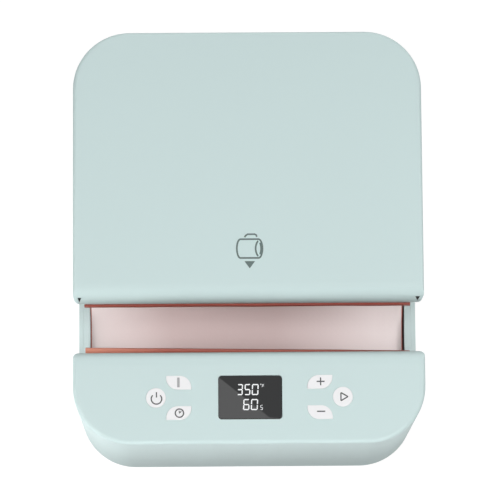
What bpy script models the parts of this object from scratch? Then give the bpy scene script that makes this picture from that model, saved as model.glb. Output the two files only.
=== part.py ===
"""Mug heat press: a fixed base with the front jaw and control panel, and a rear jaw that slides back.

Metres, +Z up, the front towards -Y, the origin under the middle of the base on the table.
A mug lies along X in the jaws, with its handle up through the slot between the covers.
"""
import math

import bmesh
import bpy
from mathutils import Matrix, Vector

# Sizes of the whole body
BODY_WIDTH = 0.196
BODY_DEPTH = 0.233
BODY_HEIGHT = 0.146
CORNER_RADIUS = 0.032
WALL = 0.0026
EDGE_ROUND = 0.0025
FOOT_HEIGHT = 0.003
RIM_HEIGHT = 0.052
PARTING_GAP = 0.0006

# Clearances and mesh settings
FIT_GAP = 0.0003
CUT_OVERRUN = 0.004
JOIN_DEPTH = 0.0008
WELD_DISTANCE = 0.000001
CORNER_STEPS = 9
ROUND_STEPS = 3
LEAF_STEPS = 6
TIGHT_STEPS = 2
RING_STEPS = 24
SMALL_RING_STEPS = 12
SHARP_ANGLE = math.radians(32)

# Jaw: the mug's axis runs along X
MUG_AXIS_SETBACK = 0.0662
MUG_AXIS_HEIGHT = 0.089
MAT_RADIUS = 0.0425
MAT_THICKNESS = 0.0016
FOAM_THICKNESS = 0.003
SHELL_THICKNESS = 0.0018
MAT_END_GAP = 0.0007
SHELL_END_INSET = 0.0003
MAT_EDGE_THICKNESS = 0.0024
MAT_EDGE_START = math.radians(14.7)
MAT_EDGE_END = math.radians(18.5)
MAT_START = math.radians(18.9)
FOAM_START = math.radians(22)
JAW_SPLIT = math.radians(222)
JAW_SPLIT_GAP = math.radians(1.5)
JAW_STEP_ANGLE = math.radians(6)

# Slot between the covers and the side windows
SLOT_WIDTH = 0.0284
LIP_DEPTH = 0.014
FRONT_LIP_ROLL = 0.0085
REAR_LIP_ROLL = 0.0100
LIP_CORNER = 0.0035
SIDE_WINDOW_RADIUS = 0.0452
SIDE_WINDOW_STEPS = 64

# Base tray
FLOOR = 0.003
BOTTOM_ROUND = 0.0015
FOOT_RADIUS = 0.008
FOOT_TAPER = 0.0008
FOOT_INSET_X = 0.022
FOOT_INSET_Y = 0.0225
END_PLATE_THICKNESS = 0.0035
END_PLATE_AHEAD = 0.0337
END_PLATE_BEHIND = 0.0363
CRADLE_INSET = 0.0454
CRADLE_THICKNESS = 0.012
CRADLE_AHEAD = 0.0337
CRADLE_BEHIND = 0.0323

# Screws and the posts that take them
SCREW_RADIUS = 0.0013
SCREW_HEAD_RADIUS = 0.0027
SCREW_HEAD_HEIGHT = 0.0016
POST_RADIUS = 0.004
HOUSING_POST_INSET_X = 0.0404
HOUSING_POST_INSET_Y = 0.0069
HOUSING_POST_LENGTH = 0.0224
HOUSING_SCREW_REACH = 0.014
POST_WEB_THICKNESS = 0.002
DECK_POST_INSET_X = 0.0054
DECK_POST_INSET_FRONT = 0.006
DECK_POST_INSET_REAR = 0.0239
DECK_PEG_RADIUS = 0.002
DECK_SCREW_REACH = 0.009
BOARD_BOSS_RADIUS = 0.003
BOARD_BOSS_INSET = 0.004
BOARD_SCREW_REACH = 0.0045
COVER_BOSS_OUTWARD = 0.009
COVER_BOSS_BACK = 0.010
COVER_SCREW_REACH = 0.0095
SCREW_TIP_ROOM = 0.002

# Deck over the slide
DECK_THICKNESS = 0.0024
DECK_SETBACK = 0.0383
DECK_DROP = 0.001

# Guide rods, their supports and the carriage
ROD_RADIUS = 0.004
ROD_INSET = 0.0174
ROD_RISE = 0.014
ROD_END_COVER = 0.0005
SUPPORT_WIDTH = 0.014
SUPPORT_DEPTH = 0.008
SUPPORT_OVER_ROD = 0.008
SUPPORT_CLEARANCE = 0.004
REAR_SUPPORT_INSET = 0.0149
CARRIAGE_SETBACK = 0.0423
CARRIAGE_LENGTH = 0.034
CARRIAGE_OVER_ROD = 0.0183
CARRIAGE_THICKNESS = 0.003
BLOCK_WIDTH = 0.014
BLOCK_UNDER_ROD = 0.0085
BUSH_RADIUS = 0.0062
BUSH_INSET = 0.0005

# Ribs that carry the rear jaw and cover
RIB_INWARD = 0.018
RIB_THICKNESS = 0.004
RIB_INSET_FRONT = 0.010
RIB_INSET_REAR = 0.002
RIB_LOWER_ANGLE = math.radians(232)
RIB_UPPER_ANGLE = math.radians(318)
RIB_FOOT_INWARD = 0.006
RIB_FOOT_OUTWARD = 0.010
RIB_FOOT_THICKNESS = 0.003
RIB_FLANGE_OUTWARD = 0.014
RIB_TOP_DEPTH = 0.016
RIB_SLOT_GAP = 0.0015

# Rack and pinion
GEAR_MODULE = 0.001
PINION_TEETH = 18
PRESSURE_ANGLE = math.radians(20)
TOOTH_BACKLASH = 0.00045
DEDENDUM_SHARE = 1.25
FLANK_STEPS = 2
PINION_SETBACK = 0.014
PINION_RISE = 0.016
PINION_WIDTH = 0.008
PINION_SHAFT_RADIUS = 0.0025
PINION_SHAFT_LEFT = -0.010
RACK_LEAD = 0.005
RACK_TAIL = 0.006
RACK_STUD_INSET_FRONT = 0.009
RACK_STUD_INSET_REAR = 0.007
RACK_STUD_RADIUS = 0.0015
SHAFT_GAP = 0.0003

# Gear motor
GEARBOX_LEFT = 0.008
GEARBOX_LENGTH = 0.018
GEARBOX_RADIUS = 0.0125
MOTOR_LENGTH = 0.024
MOTOR_RADIUS = 0.0115
MOTOR_END_CAP = 0.003
MOTOR_END_RADIUS = 0.005
BRACKET_THICKNESS = 0.0025
BRACKET_INSIDE = 0.0052
BRACKET_HALF_DEPTH = 0.010
BRACKET_OVER_SHAFT = 0.0135

# Limit switches on posts beside the rack
SWITCH_LEFT = 0.0075
SWITCH_WIDTH = 0.0065
SWITCH_LENGTH = 0.0095
SWITCH_HEIGHT = 0.0085
SWITCH_UNDER_CARRIAGE = 0.0023
SWITCH_PLUNGER_RADIUS = 0.0008
SWITCH_PLUNGER_LENGTH = 0.0022

# Power inlet in the rear wall
INLET_INSET = 0.0454
INLET_RISE = 0.014
INLET_SINK = 0.0001
INLET_HALF_WIDTH = 0.0137
INLET_HALF_HEIGHT = 0.010
INLET_DEPTH = 0.0223
INLET_FLANGE_MARGIN = 0.0022
INLET_FLANGE_THICKNESS = 0.002
SOCKET_WALL = 0.002
SOCKET_DEPTH = 0.0168
SOCKET_CHAMFER = 0.004
PIN_WIDTH = 0.002
PIN_HEIGHT = 0.004
PIN_SPACING = 0.007
PIN_OFFSET = 0.002
PIN_SETBACK = 0.0043

# Power board and what stands on it
BOARD_THICKNESS = 0.0016
POWER_BOARD_ROD_ROOM = 0.016
POWER_BOARD_RIGHT = -0.014
POWER_BOARD_LENGTH = 0.058
POWER_BOARD_INSET = 0.0099
POWER_BOARD_RISE = 0.003
STANDOFF_RADIUS = 0.0025
STANDOFF_INSET = 0.003
TRANSFORMER_OFFSET = (0.004, 0.024)
TRANSFORMER_SIZE = (0.022, 0.024, 0.020)
TRANSFORMER_LAMINATION = 0.003
RELAY_OFFSET = (0.004, 0.003)
RELAY_SIZE = (0.012, 0.016, 0.015)
CAPACITOR_INSET = 0.0075
CAPACITOR_BACK = 0.014
CAPACITOR_RADIUS = 0.006
CAPACITOR_HEIGHT = 0.018
PART_ROUND = 0.0006

# Thermostat under the front jaw and the leads
THERMOSTAT_X = -0.020
THERMOSTAT_RADIUS = 0.0075
THERMOSTAT_HEIGHT = 0.008
THERMOSTAT_LIP_RADIUS = 0.0062
THERMOSTAT_LIP = 0.002
THERMOSTAT_RIM = 0.002
HARNESS_RADIUS = 0.0022
HARNESS_CRADLE_ROOM = 0.012
HARNESS_AHEAD = 0.0037
HARNESS_BEND = 0.010
HEATER_LEAD_RADIUS = 0.0016
HEATER_LEAD_BEND = 0.008
MAINS_LEAD_RADIUS = 0.0022
MAINS_LEAD_RUN = 0.020
MAINS_LEAD_RISE = 0.006
MAINS_LEAD_BEND = 0.010
BEND_STEPS = 6
LEAD_SIDES_RESOLUTION = 2

# Control panel
WINDOW_WIDTH = 0.0354
WINDOW_DEPTH = 0.0240
WINDOW_X = 0.0003
WINDOW_SETBACK = 0.0258
WINDOW_CORNER = 0.0017
WINDOW_SINK = 0.0001
WINDOW_FLANGE_MARGIN = 0.0020
WINDOW_FLANGE_THICKNESS = 0.0009
WINDOW_GAP = 0.00025
DISPLAY_MARGIN = 0.0015
CONTROL_BOARD_MARGIN = 0.0045
CONTROL_BOARD_AHEAD = 0.0173
CONTROL_BOARD_BEHIND = 0.0147
CONTROL_BOARD_DEPTH = 0.0132
BUTTON_RISE = 0.0005
BUTTON_TRAVEL = 0.0008
BUTTON_GAP = 0.00035
BUTTON_FLANGE_MARGIN = 0.0008
BUTTON_FLANGE_THICKNESS = 0.0015
BUTTON_EDGE_ROUND = 0.0004
BUTTON_STEM_RADIUS = 0.0016
SWITCH_BODY = 0.006
SWITCH_BODY_HEIGHT = 0.0033
SWITCH_BUTTON_HEIGHT = 0.0012
ROUND_BUTTON_RADIUS = 0.0056
ROUND_BUTTON_X = 0.0519
LEAF_LENGTH = 0.0140
LEAF_WIDTH = 0.0077
LEAF_CORNER = 0.0008
LEAF_FLAT = 0.0004
LEAF_X = 0.0392
UPPER_LEAF_BACK = 0.0084
LOWER_LEAF_AHEAD = 0.0085

# Places worked out from the sizes above
HALF_WIDTH = BODY_WIDTH / 2
HALF_DEPTH = BODY_DEPTH / 2
INNER_HALF_WIDTH = HALF_WIDTH - WALL
INNER_HALF_DEPTH = HALF_DEPTH - WALL
INNER_CORNER = CORNER_RADIUS - WALL
PANEL_UNDERSIDE = BODY_HEIGHT - WALL
LIP_HEIGHT = BODY_HEIGHT - LIP_DEPTH
FLOOR_TOP = FOOT_HEIGHT + FLOOR
COVER_BOTTOM = RIM_HEIGHT + PARTING_GAP

# Jaw and slot
MUG_AXIS_Y = MUG_AXIS_SETBACK - HALF_DEPTH
FRONT_LIP_Y = MUG_AXIS_Y - SLOT_WIDTH / 2
REAR_LIP_Y = MUG_AXIS_Y + SLOT_WIDTH / 2
FOAM_RADIUS = MAT_RADIUS + MAT_THICKNESS + FIT_GAP
SHELL_RADIUS = FOAM_RADIUS + FOAM_THICKNESS + FIT_GAP
SHELL_OUTER_RADIUS = SHELL_RADIUS + SHELL_THICKNESS
JAW_SEAT_RADIUS = SHELL_OUTER_RADIUS + FIT_GAP
END_PLATE_OUTSIDE = INNER_HALF_WIDTH - FIT_GAP
MAT_HALF_LENGTH = END_PLATE_OUTSIDE - END_PLATE_THICKNESS - MAT_END_GAP
SHELL_HALF_LENGTH = MAT_HALF_LENGTH - SHELL_END_INSET
END_PLATE_FRONT = MUG_AXIS_Y - END_PLATE_AHEAD
END_PLATE_REAR = MUG_AXIS_Y + END_PLATE_BEHIND
CRADLE_INSIDE = INNER_HALF_WIDTH - CRADLE_INSET
CRADLE_FRONT = MUG_AXIS_Y - CRADLE_AHEAD
CRADLE_REAR = MUG_AXIS_Y + CRADLE_BEHIND

# Screws, posts and the deck
HOLE_RADIUS = SCREW_RADIUS + FIT_GAP
HEAD_HOLE_RADIUS = SCREW_HEAD_RADIUS + FIT_GAP
HOUSING_POST_X = INNER_HALF_WIDTH - HOUSING_POST_INSET_X
HOUSING_POST_Y = HOUSING_POST_INSET_Y - INNER_HALF_DEPTH
HOUSING_POST_TOP = COVER_BOTTOM + HOUSING_POST_LENGTH
DECK_FRONT = MUG_AXIS_Y + DECK_SETBACK
DECK_POST_X = INNER_HALF_WIDTH - DECK_POST_INSET_X
DECK_POST_FRONT = DECK_FRONT + DECK_POST_INSET_FRONT
DECK_POST_REAR = INNER_HALF_DEPTH - DECK_POST_INSET_REAR
DECK_TOP = RIM_HEIGHT - DECK_DROP
DECK_BOTTOM = DECK_TOP - DECK_THICKNESS

# Slide: the travel is what the rear supports leave behind the carriage
ROD_X = INNER_HALF_WIDTH - ROD_INSET
ROD_HEIGHT = FLOOR_TOP + ROD_RISE
SUPPORT_TOP = ROD_HEIGHT + SUPPORT_OVER_ROD
CARRIAGE_FRONT = MUG_AXIS_Y + CARRIAGE_SETBACK
CARRIAGE_REAR = CARRIAGE_FRONT + CARRIAGE_LENGTH
FRONT_SUPPORT_Y = CARRIAGE_FRONT - SUPPORT_CLEARANCE - SUPPORT_DEPTH / 2
REAR_SUPPORT_Y = INNER_HALF_DEPTH - REAR_SUPPORT_INSET
JAW_TRAVEL = REAR_SUPPORT_Y - SUPPORT_DEPTH / 2 - SUPPORT_CLEARANCE - CARRIAGE_REAR
ROD_FRONT = FRONT_SUPPORT_Y - SUPPORT_DEPTH / 2 + ROD_END_COVER
ROD_REAR = REAR_SUPPORT_Y + SUPPORT_DEPTH / 2 - ROD_END_COVER
CARRIAGE_HALF_WIDTH = ROD_X + BLOCK_WIDTH / 2
CARRIAGE_UNDERSIDE = ROD_HEIGHT + CARRIAGE_OVER_ROD
CARRIAGE_TOP = CARRIAGE_UNDERSIDE + CARRIAGE_THICKNESS
BLOCK_BOTTOM = ROD_HEIGHT - BLOCK_UNDER_ROD
RIB_X = ROD_X - RIB_INWARD
RIB_FRONT = CARRIAGE_FRONT + RIB_INSET_FRONT
RIB_REAR = CARRIAGE_REAR - RIB_INSET_REAR
RIB_TOP = BODY_HEIGHT - RIB_TOP_DEPTH
COVER_BOSS_X = RIB_X + COVER_BOSS_OUTWARD
COVER_BOSS_Y = RIB_FRONT + COVER_BOSS_BACK

# Rack, pinion and switches
RACK_TOP = CARRIAGE_UNDERSIDE - FIT_GAP
PITCH_RADIUS = GEAR_MODULE * PINION_TEETH / 2
PINION_Y = CARRIAGE_REAR + PINION_SETBACK
PINION_HEIGHT = FLOOR_TOP + PINION_RISE
PITCH_LINE = PINION_HEIGHT + PITCH_RADIUS
RACK_STUD_FRONT = CARRIAGE_FRONT + RACK_STUD_INSET_FRONT
RACK_STUD_REAR = CARRIAGE_REAR - RACK_STUD_INSET_REAR
RACK_FRONT = min(PINION_Y - JAW_TRAVEL, RACK_STUD_FRONT) - RACK_LEAD
RACK_REAR = PINION_Y + RACK_TAIL
BRACKET_TOP = PINION_HEIGHT + BRACKET_OVER_SHAFT
SWITCH_BOTTOM = CARRIAGE_UNDERSIDE - SWITCH_UNDER_CARRIAGE

# Inlet, power board and leads
INLET_X = INNER_HALF_WIDTH - INLET_INSET
INLET_HEIGHT = FLOOR_TOP + INLET_RISE
INLET_FACE = HALF_DEPTH - INLET_SINK
INLET_BACK = INLET_FACE - INLET_DEPTH
SOCKET_FLOOR = INLET_FACE - SOCKET_DEPTH
POWER_BOARD_LEFT = POWER_BOARD_ROD_ROOM - ROD_X
POWER_BOARD_REAR = INNER_HALF_DEPTH - POWER_BOARD_INSET
POWER_BOARD_FRONT = POWER_BOARD_REAR - POWER_BOARD_LENGTH
POWER_BOARD_BOTTOM = FLOOR_TOP + POWER_BOARD_RISE
POWER_BOARD_TOP = POWER_BOARD_BOTTOM + BOARD_THICKNESS
HARNESS_X = HARNESS_CRADLE_ROOM - CRADLE_INSIDE
HARNESS_FRONT = MUG_AXIS_Y - SHELL_OUTER_RADIUS - HARNESS_AHEAD
THERMOSTAT_TOP = MUG_AXIS_HEIGHT - JAW_SEAT_RADIUS

# Control panel
WINDOW_Y = WINDOW_SETBACK - HALF_DEPTH
UPPER_LEAF_Y = WINDOW_Y + UPPER_LEAF_BACK
LOWER_LEAF_Y = WINDOW_Y - LOWER_LEAF_AHEAD
CONTROL_BOARD_HALF_WIDTH = ROUND_BUTTON_X + ROUND_BUTTON_RADIUS + CONTROL_BOARD_MARGIN
CONTROL_BOARD_FRONT = WINDOW_Y - CONTROL_BOARD_AHEAD
CONTROL_BOARD_REAR = WINDOW_Y + CONTROL_BOARD_BEHIND
CONTROL_BOARD_BOTTOM = BODY_HEIGHT - CONTROL_BOARD_DEPTH
CONTROL_BOARD_TOP = CONTROL_BOARD_BOTTOM + BOARD_THICKNESS
BOARD_BOSS_X = CONTROL_BOARD_HALF_WIDTH - BOARD_BOSS_INSET
BOARD_BOSS_Y = CONTROL_BOARD_REAR - BOARD_BOSS_INSET
FLANGE_TOP = PANEL_UNDERSIDE - FIT_GAP

# Button: side of the panel, centre, and which corners of a leaf are sharp
BUTTONS = {
    "power_button": (-ROUND_BUTTON_X, WINDOW_Y, None),
    "temperature_button": (-LEAF_X, UPPER_LEAF_Y, "falling"),
    "timer_button": (-LEAF_X, LOWER_LEAF_Y, "rising"),
    "plus_button": (LEAF_X, UPPER_LEAF_Y, "rising"),
    "minus_button": (LEAF_X, LOWER_LEAF_Y, "falling"),
    "start_button": (ROUND_BUTTON_X, WINDOW_Y, None),
}

# Finishes: colour, roughness and metallic value
FINISHES = {
    "mint_plastic": ((0.60, 0.72, 0.71), 0.45, 0.0),
    "white_plastic": ((0.86, 0.86, 0.87), 0.30, 0.0),
    "dark_plastic": ((0.04, 0.04, 0.045), 0.40, 0.0),
    "dark_lens": ((0.03, 0.03, 0.032), 0.15, 0.0),
    "mat_fabric": ((0.55, 0.43, 0.42), 0.55, 0.0),
    "copper_silicone": ((0.35, 0.12, 0.09), 0.50, 0.0),
    "foam": ((0.30, 0.30, 0.30), 0.90, 0.0),
    "steel": ((0.60, 0.60, 0.62), 0.30, 1.0),
    "aluminium": ((0.75, 0.75, 0.77), 0.35, 1.0),
    "brass": ((0.72, 0.52, 0.22), 0.35, 1.0),
    "rubber": ((0.03, 0.03, 0.03), 0.80, 0.0),
    "board_green": ((0.03, 0.16, 0.08), 0.50, 0.0),
    "cable_black": ((0.02, 0.02, 0.02), 0.60, 0.0),
    "relay_blue": ((0.04, 0.12, 0.35), 0.40, 0.0),
}

PART_COLLECTION = "mug_heat_press"
CUTTER_COLLECTION = "cutters"


# Scene and object helpers
def clear_scene():
    for obj in list(bpy.data.objects):
        bpy.data.objects.remove(obj, do_unlink=True)


def collection(name):
    found = bpy.data.collections.get(name)
    if found is None:
        found = bpy.data.collections.new(name)
        bpy.context.scene.collection.children.link(found)
    return found


def finish(name):
    material = bpy.data.materials.get(name)
    if material is None:
        colour, roughness, metallic = FINISHES[name]
        material = bpy.data.materials.new(name)
        material.use_nodes = True
        shader = material.node_tree.nodes["Principled BSDF"]
        shader.inputs["Base Color"].default_value = (*colour, 1.0)
        shader.inputs["Roughness"].default_value = roughness
        shader.inputs["Metallic"].default_value = metallic
    return material


def part(name, bm, finish_name, parent=None):
    """Makes a closed mesh a named part, with its origin on the parent's axis where it has one."""
    bmesh.ops.recalc_face_normals(bm, faces=bm.faces)
    mesh = bpy.data.meshes.new(name)
    bm.to_mesh(mesh)
    bm.free()
    obj = bpy.data.objects.new(name, mesh)
    obj.data.materials.append(finish(finish_name))
    collection(PART_COLLECTION).objects.link(obj)
    if parent is not None:
        mesh.transform(Matrix.Translation(-parent.location))
        obj.parent = parent
    mesh.shade_smooth()
    mesh.set_sharp_from_angle(angle=SHARP_ANGLE)
    return obj


def tool(name, bm):
    """Makes a mesh that only cuts or joins parts."""
    bmesh.ops.recalc_face_normals(bm, faces=bm.faces)
    mesh = bpy.data.meshes.new(name)
    bm.to_mesh(mesh)
    bm.free()
    obj = bpy.data.objects.new(name, mesh)
    collection(CUTTER_COLLECTION).objects.link(obj)
    obj.hide_render = True
    obj.display_type = "WIRE"
    return obj


def combine(target, operation, tools, solver):
    for item in tools:
        modifier = target.modifiers.new(item.name, "BOOLEAN")
        modifier.operation = operation
        modifier.solver = solver
        modifier.object = item


def cut(target, *tools, solver="EXACT"):
    combine(target, "DIFFERENCE", tools, solver)


def join(target, *tools, solver="EXACT"):
    combine(target, "UNION", tools, solver)


def axis_empty(name, place):
    empty = bpy.data.objects.new(name, None)
    empty.location = place
    collection(PART_COLLECTION).objects.link(empty)
    return empty


# Shape helpers: each adds a closed shape to a bmesh and returns the bmesh
def box(low, high, bm=None):
    bm = bm or bmesh.new()
    low, high = Vector(low), Vector(high)
    place = Matrix.Translation((low + high) / 2) @ Matrix.Diagonal((*(high - low), 1))
    bmesh.ops.create_cube(bm, size=1, matrix=place)
    return bm


def rounded_box(low, high, width, bm=None):
    """A box with all its edges bevelled a little."""
    piece = box(low, high)
    bmesh.ops.bevel(piece, geom=piece.edges[:], offset=width, segments=1, profile=0.5, affect="EDGES")
    if bm is None:
        return piece
    mesh = bpy.data.meshes.new("rounded_box")
    piece.to_mesh(mesh)
    piece.free()
    bm.from_mesh(mesh)
    bpy.data.meshes.remove(mesh)
    return bm


def toward(direction):
    """The turn that takes +Z to a direction."""
    return Vector((0, 0, 1)).rotation_difference(Vector(direction)).to_matrix().to_4x4()


def cylinder(start, end, radius, steps=SMALL_RING_STEPS, end_radius=None, bm=None):
    bm = bm or bmesh.new()
    start, end = Vector(start), Vector(end)
    place = Matrix.Translation((start + end) / 2) @ toward(end - start)
    last = radius if end_radius is None else end_radius
    bmesh.ops.create_cone(bm, cap_ends=True, segments=steps, radius1=radius, radius2=last,
                          depth=(end - start).length, matrix=place)
    return bm


def turned(profile, place, direction=(0, 0, 1), steps=SMALL_RING_STEPS, bm=None):
    """Turns a profile of (radius, height) points, which starts and ends on the axis, a full circle."""
    bm = bm or bmesh.new()
    frame = Matrix.Translation(place) @ toward(direction)
    corners = [bm.verts.new(frame @ Vector((radius, 0, height))) for radius, height in profile]
    edges = [bm.edges.new(pair) for pair in zip(corners, corners[1:])]
    axis = frame.to_3x3() @ Vector((0, 0, 1))
    bmesh.ops.spin(bm, geom=corners + edges, cent=place, axis=axis, angle=math.tau, steps=steps,
                   use_merge=True)
    bmesh.ops.remove_doubles(bm, verts=bm.verts, dist=WELD_DISTANCE)
    return bm


def arc(centre, radius, start, end, steps):
    """Points on an arc in a flat outline, with the angle from +U towards +V."""
    turn = end - start
    return [(centre[0] + radius * math.cos(start + turn * i / steps),
             centre[1] + radius * math.sin(start + turn * i / steps)) for i in range(steps + 1)]


def circle_outline(centre, radius, steps=RING_STEPS):
    return arc(centre, radius, 0, math.tau, steps)[:-1]


def rounded_outline(low, high, radii, steps=(ROUND_STEPS,) * 4):
    """A rectangle whose corners, from the low one anticlockwise, have their own radii and step counts."""
    corners = ((low[0], low[1], math.pi), (high[0], low[1], math.pi * 1.5), (high[0], high[1], 0),
               (low[0], high[1], math.pi / 2))
    points = []
    for (u, v, start), radius, count in zip(corners, radii, steps):
        if radius == 0:
            points.append((u, v))
            continue
        centre = (u + (radius if u == low[0] else -radius), v + (radius if v == low[1] else -radius))
        points += arc(centre, radius, start, start + math.pi / 2, count)
    return points


def rectangle(low, high):
    return [low, (high[0], low[1]), high, (low[0], high[1])]


OUTLINE_FRAMES = {
    "X": Matrix(((0, 0, 1, 0), (1, 0, 0, 0), (0, 1, 0, 0), (0, 0, 0, 1))),
    "Y": Matrix(((1, 0, 0, 0), (0, 0, -1, 0), (0, 1, 0, 0), (0, 0, 0, 1))),
    "Z": Matrix.Identity(4),
}


def prism(outlines, low, high, axis):
    """A flat outline, with any holes as further outlines, made solid from low to high along an axis.

    The outline's two directions are Y and Z along X, X and Z along Y, and X and Y along Z.
    """
    curve = bpy.data.curves.new("outline", "CURVE")
    curve.dimensions = "2D"
    curve.fill_mode = "BOTH"
    curve.extrude = (high - low) / 2
    for points in outlines:
        spline = curve.splines.new("POLY")
        spline.points.add(len(points) - 1)
        for knot, (u, v) in zip(spline.points, points):
            knot.co = (u, v, 0, 1)
        spline.use_cyclic_u = True
    obj = bpy.data.objects.new("outline", curve)
    bpy.context.scene.collection.objects.link(obj)
    graph = bpy.context.evaluated_depsgraph_get()
    mesh = bpy.data.meshes.new_from_object(obj.evaluated_get(graph))
    bm = bmesh.new()
    bm.from_mesh(mesh)
    bmesh.ops.remove_doubles(bm, verts=bm.verts, dist=WELD_DISTANCE)
    shift = Vector((0, 0, (low + high) / 2 * (-1 if axis == "Y" else 1)))
    bmesh.ops.transform(bm, matrix=OUTLINE_FRAMES[axis] @ Matrix.Translation(shift), verts=bm.verts)
    bpy.data.objects.remove(obj, do_unlink=True)
    bpy.data.curves.remove(curve)
    bpy.data.meshes.remove(mesh)
    return bm


def stacked(levels):
    """A solid through outlines that have equal counts of points, each at its own height."""
    bm = bmesh.new()
    rings = [[bm.verts.new((*point, z)) for point in outline] for outline, z in levels]
    bm.faces.new(reversed(rings[0]))
    bm.faces.new(rings[-1])
    for lower, upper in zip(rings, rings[1:]):
        for i in range(len(lower)):
            bm.faces.new((lower[i - 1], lower[i], upper[i], upper[i - 1]))
    return bm


def band_outline(inner, outer, start, end):
    """A curved band round the mug's axis; angles run from the top through the front, in Y and Z."""
    centre = (MUG_AXIS_Y, MUG_AXIS_HEIGHT)
    steps = max(1, round((end - start) / JAW_STEP_ANGLE))
    first, last = start + math.pi / 2, end + math.pi / 2
    return arc(centre, outer, first, last, steps) + arc(centre, inner, last, first, steps)


def lead(route, radius, bend):
    """A round lead along straight runs with bent corners."""
    points = [Vector(route[0])]
    for before, corner, after in zip(route, route[1:], route[2:]):
        corner = Vector(corner)
        back, ahead = (Vector(before) - corner).normalized(), (Vector(after) - corner).normalized()
        centre = corner + (back + ahead) * bend
        first, last = corner + back * bend - centre, corner + ahead * bend - centre
        for i in range(BEND_STEPS + 1):
            angle = math.pi / 2 * i / BEND_STEPS
            points.append(centre + first * math.cos(angle) + last * math.sin(angle))
    points.append(Vector(route[-1]))
    curve = bpy.data.curves.new("lead", "CURVE")
    curve.dimensions = "3D"
    curve.bevel_depth = radius
    curve.bevel_resolution = LEAD_SIDES_RESOLUTION
    curve.use_fill_caps = True
    spline = curve.splines.new("POLY")
    spline.points.add(len(points) - 1)
    for knot, point in zip(spline.points, points):
        knot.co = (*point, 1)
    obj = bpy.data.objects.new("lead", curve)
    bpy.context.scene.collection.objects.link(obj)
    graph = bpy.context.evaluated_depsgraph_get()
    mesh = bpy.data.meshes.new_from_object(obj.evaluated_get(graph))
    bm = bmesh.new()
    bm.from_mesh(mesh)
    bmesh.ops.remove_doubles(bm, verts=bm.verts, dist=WELD_DISTANCE)
    bpy.data.objects.remove(obj, do_unlink=True)
    bpy.data.curves.remove(curve)
    bpy.data.meshes.remove(mesh)
    return bm


def screw(place, direction, reach, bm=None):
    """A pan-head screw: place is the middle of the head's seat, and the shank runs along direction."""
    head = SCREW_HEAD_HEIGHT
    profile = [(0, -head), (SCREW_HEAD_RADIUS, -head), (SCREW_HEAD_RADIUS, 0), (SCREW_RADIUS, 0),
               (SCREW_RADIUS, reach), (0, reach)]
    return turned(profile, place, direction, steps=SMALL_RING_STEPS, bm=bm)


def screw_pair(prefix, places, direction, reach, parent=None):
    """One screw at each of two places, left then right."""
    for side, place in zip(("left", "right"), places):
        part(f"{prefix}_{side}", screw(place, direction, reach), "steel", parent)


# Corner rounding for the base and the covers
def upright_edges(bm, half_width, y):
    """The edges that stand at both sides at one depth."""
    found = []
    for edge in bm.edges:
        ends = [vert.co for vert in edge.verts]
        at_corner = all(abs(abs(co.x) - half_width) < WELD_DISTANCE * 2 and abs(co.y - y) < WELD_DISTANCE * 2
                        for co in ends)
        if at_corner and abs(ends[0].x - ends[1].x) < WELD_DISTANCE:
            found.append(edge)
    return found


def round_corners(bm, half_width, y, radius):
    bmesh.ops.bevel(bm, geom=upright_edges(bm, half_width, y), offset=radius, segments=CORNER_STEPS,
                    profile=0.5, affect="EDGES")


def round_top(bm, top, width):
    """Rounds the edges round the flat top."""
    rim = [edge for edge in bm.edges if all(vert.co.z > top - WELD_DISTANCE for vert in edge.verts)]
    bmesh.ops.bevel(bm, geom=rim, offset=width, segments=ROUND_STEPS, profile=0.5, affect="EDGES")


def lip_profile(name, lip, far, bottom, top, half_width, roll, lip_side):
    """A cover's side view made solid across its width, with the top rolled down at the slot."""
    centre = (lip - lip_side * roll, top - roll)
    if lip_side > 0:
        curve = arc(centre, roll, 0, math.pi / 2, CORNER_STEPS)
        outline = [(far, bottom), (lip, bottom)] + curve + [(far, top)]
    else:
        curve = arc(centre, roll, math.pi / 2, math.pi, CORNER_STEPS)
        outline = [(lip, bottom), (far, bottom), (far, top)] + curve
    return tool(name, prism([outline], -half_width, half_width, "X"))


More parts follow.
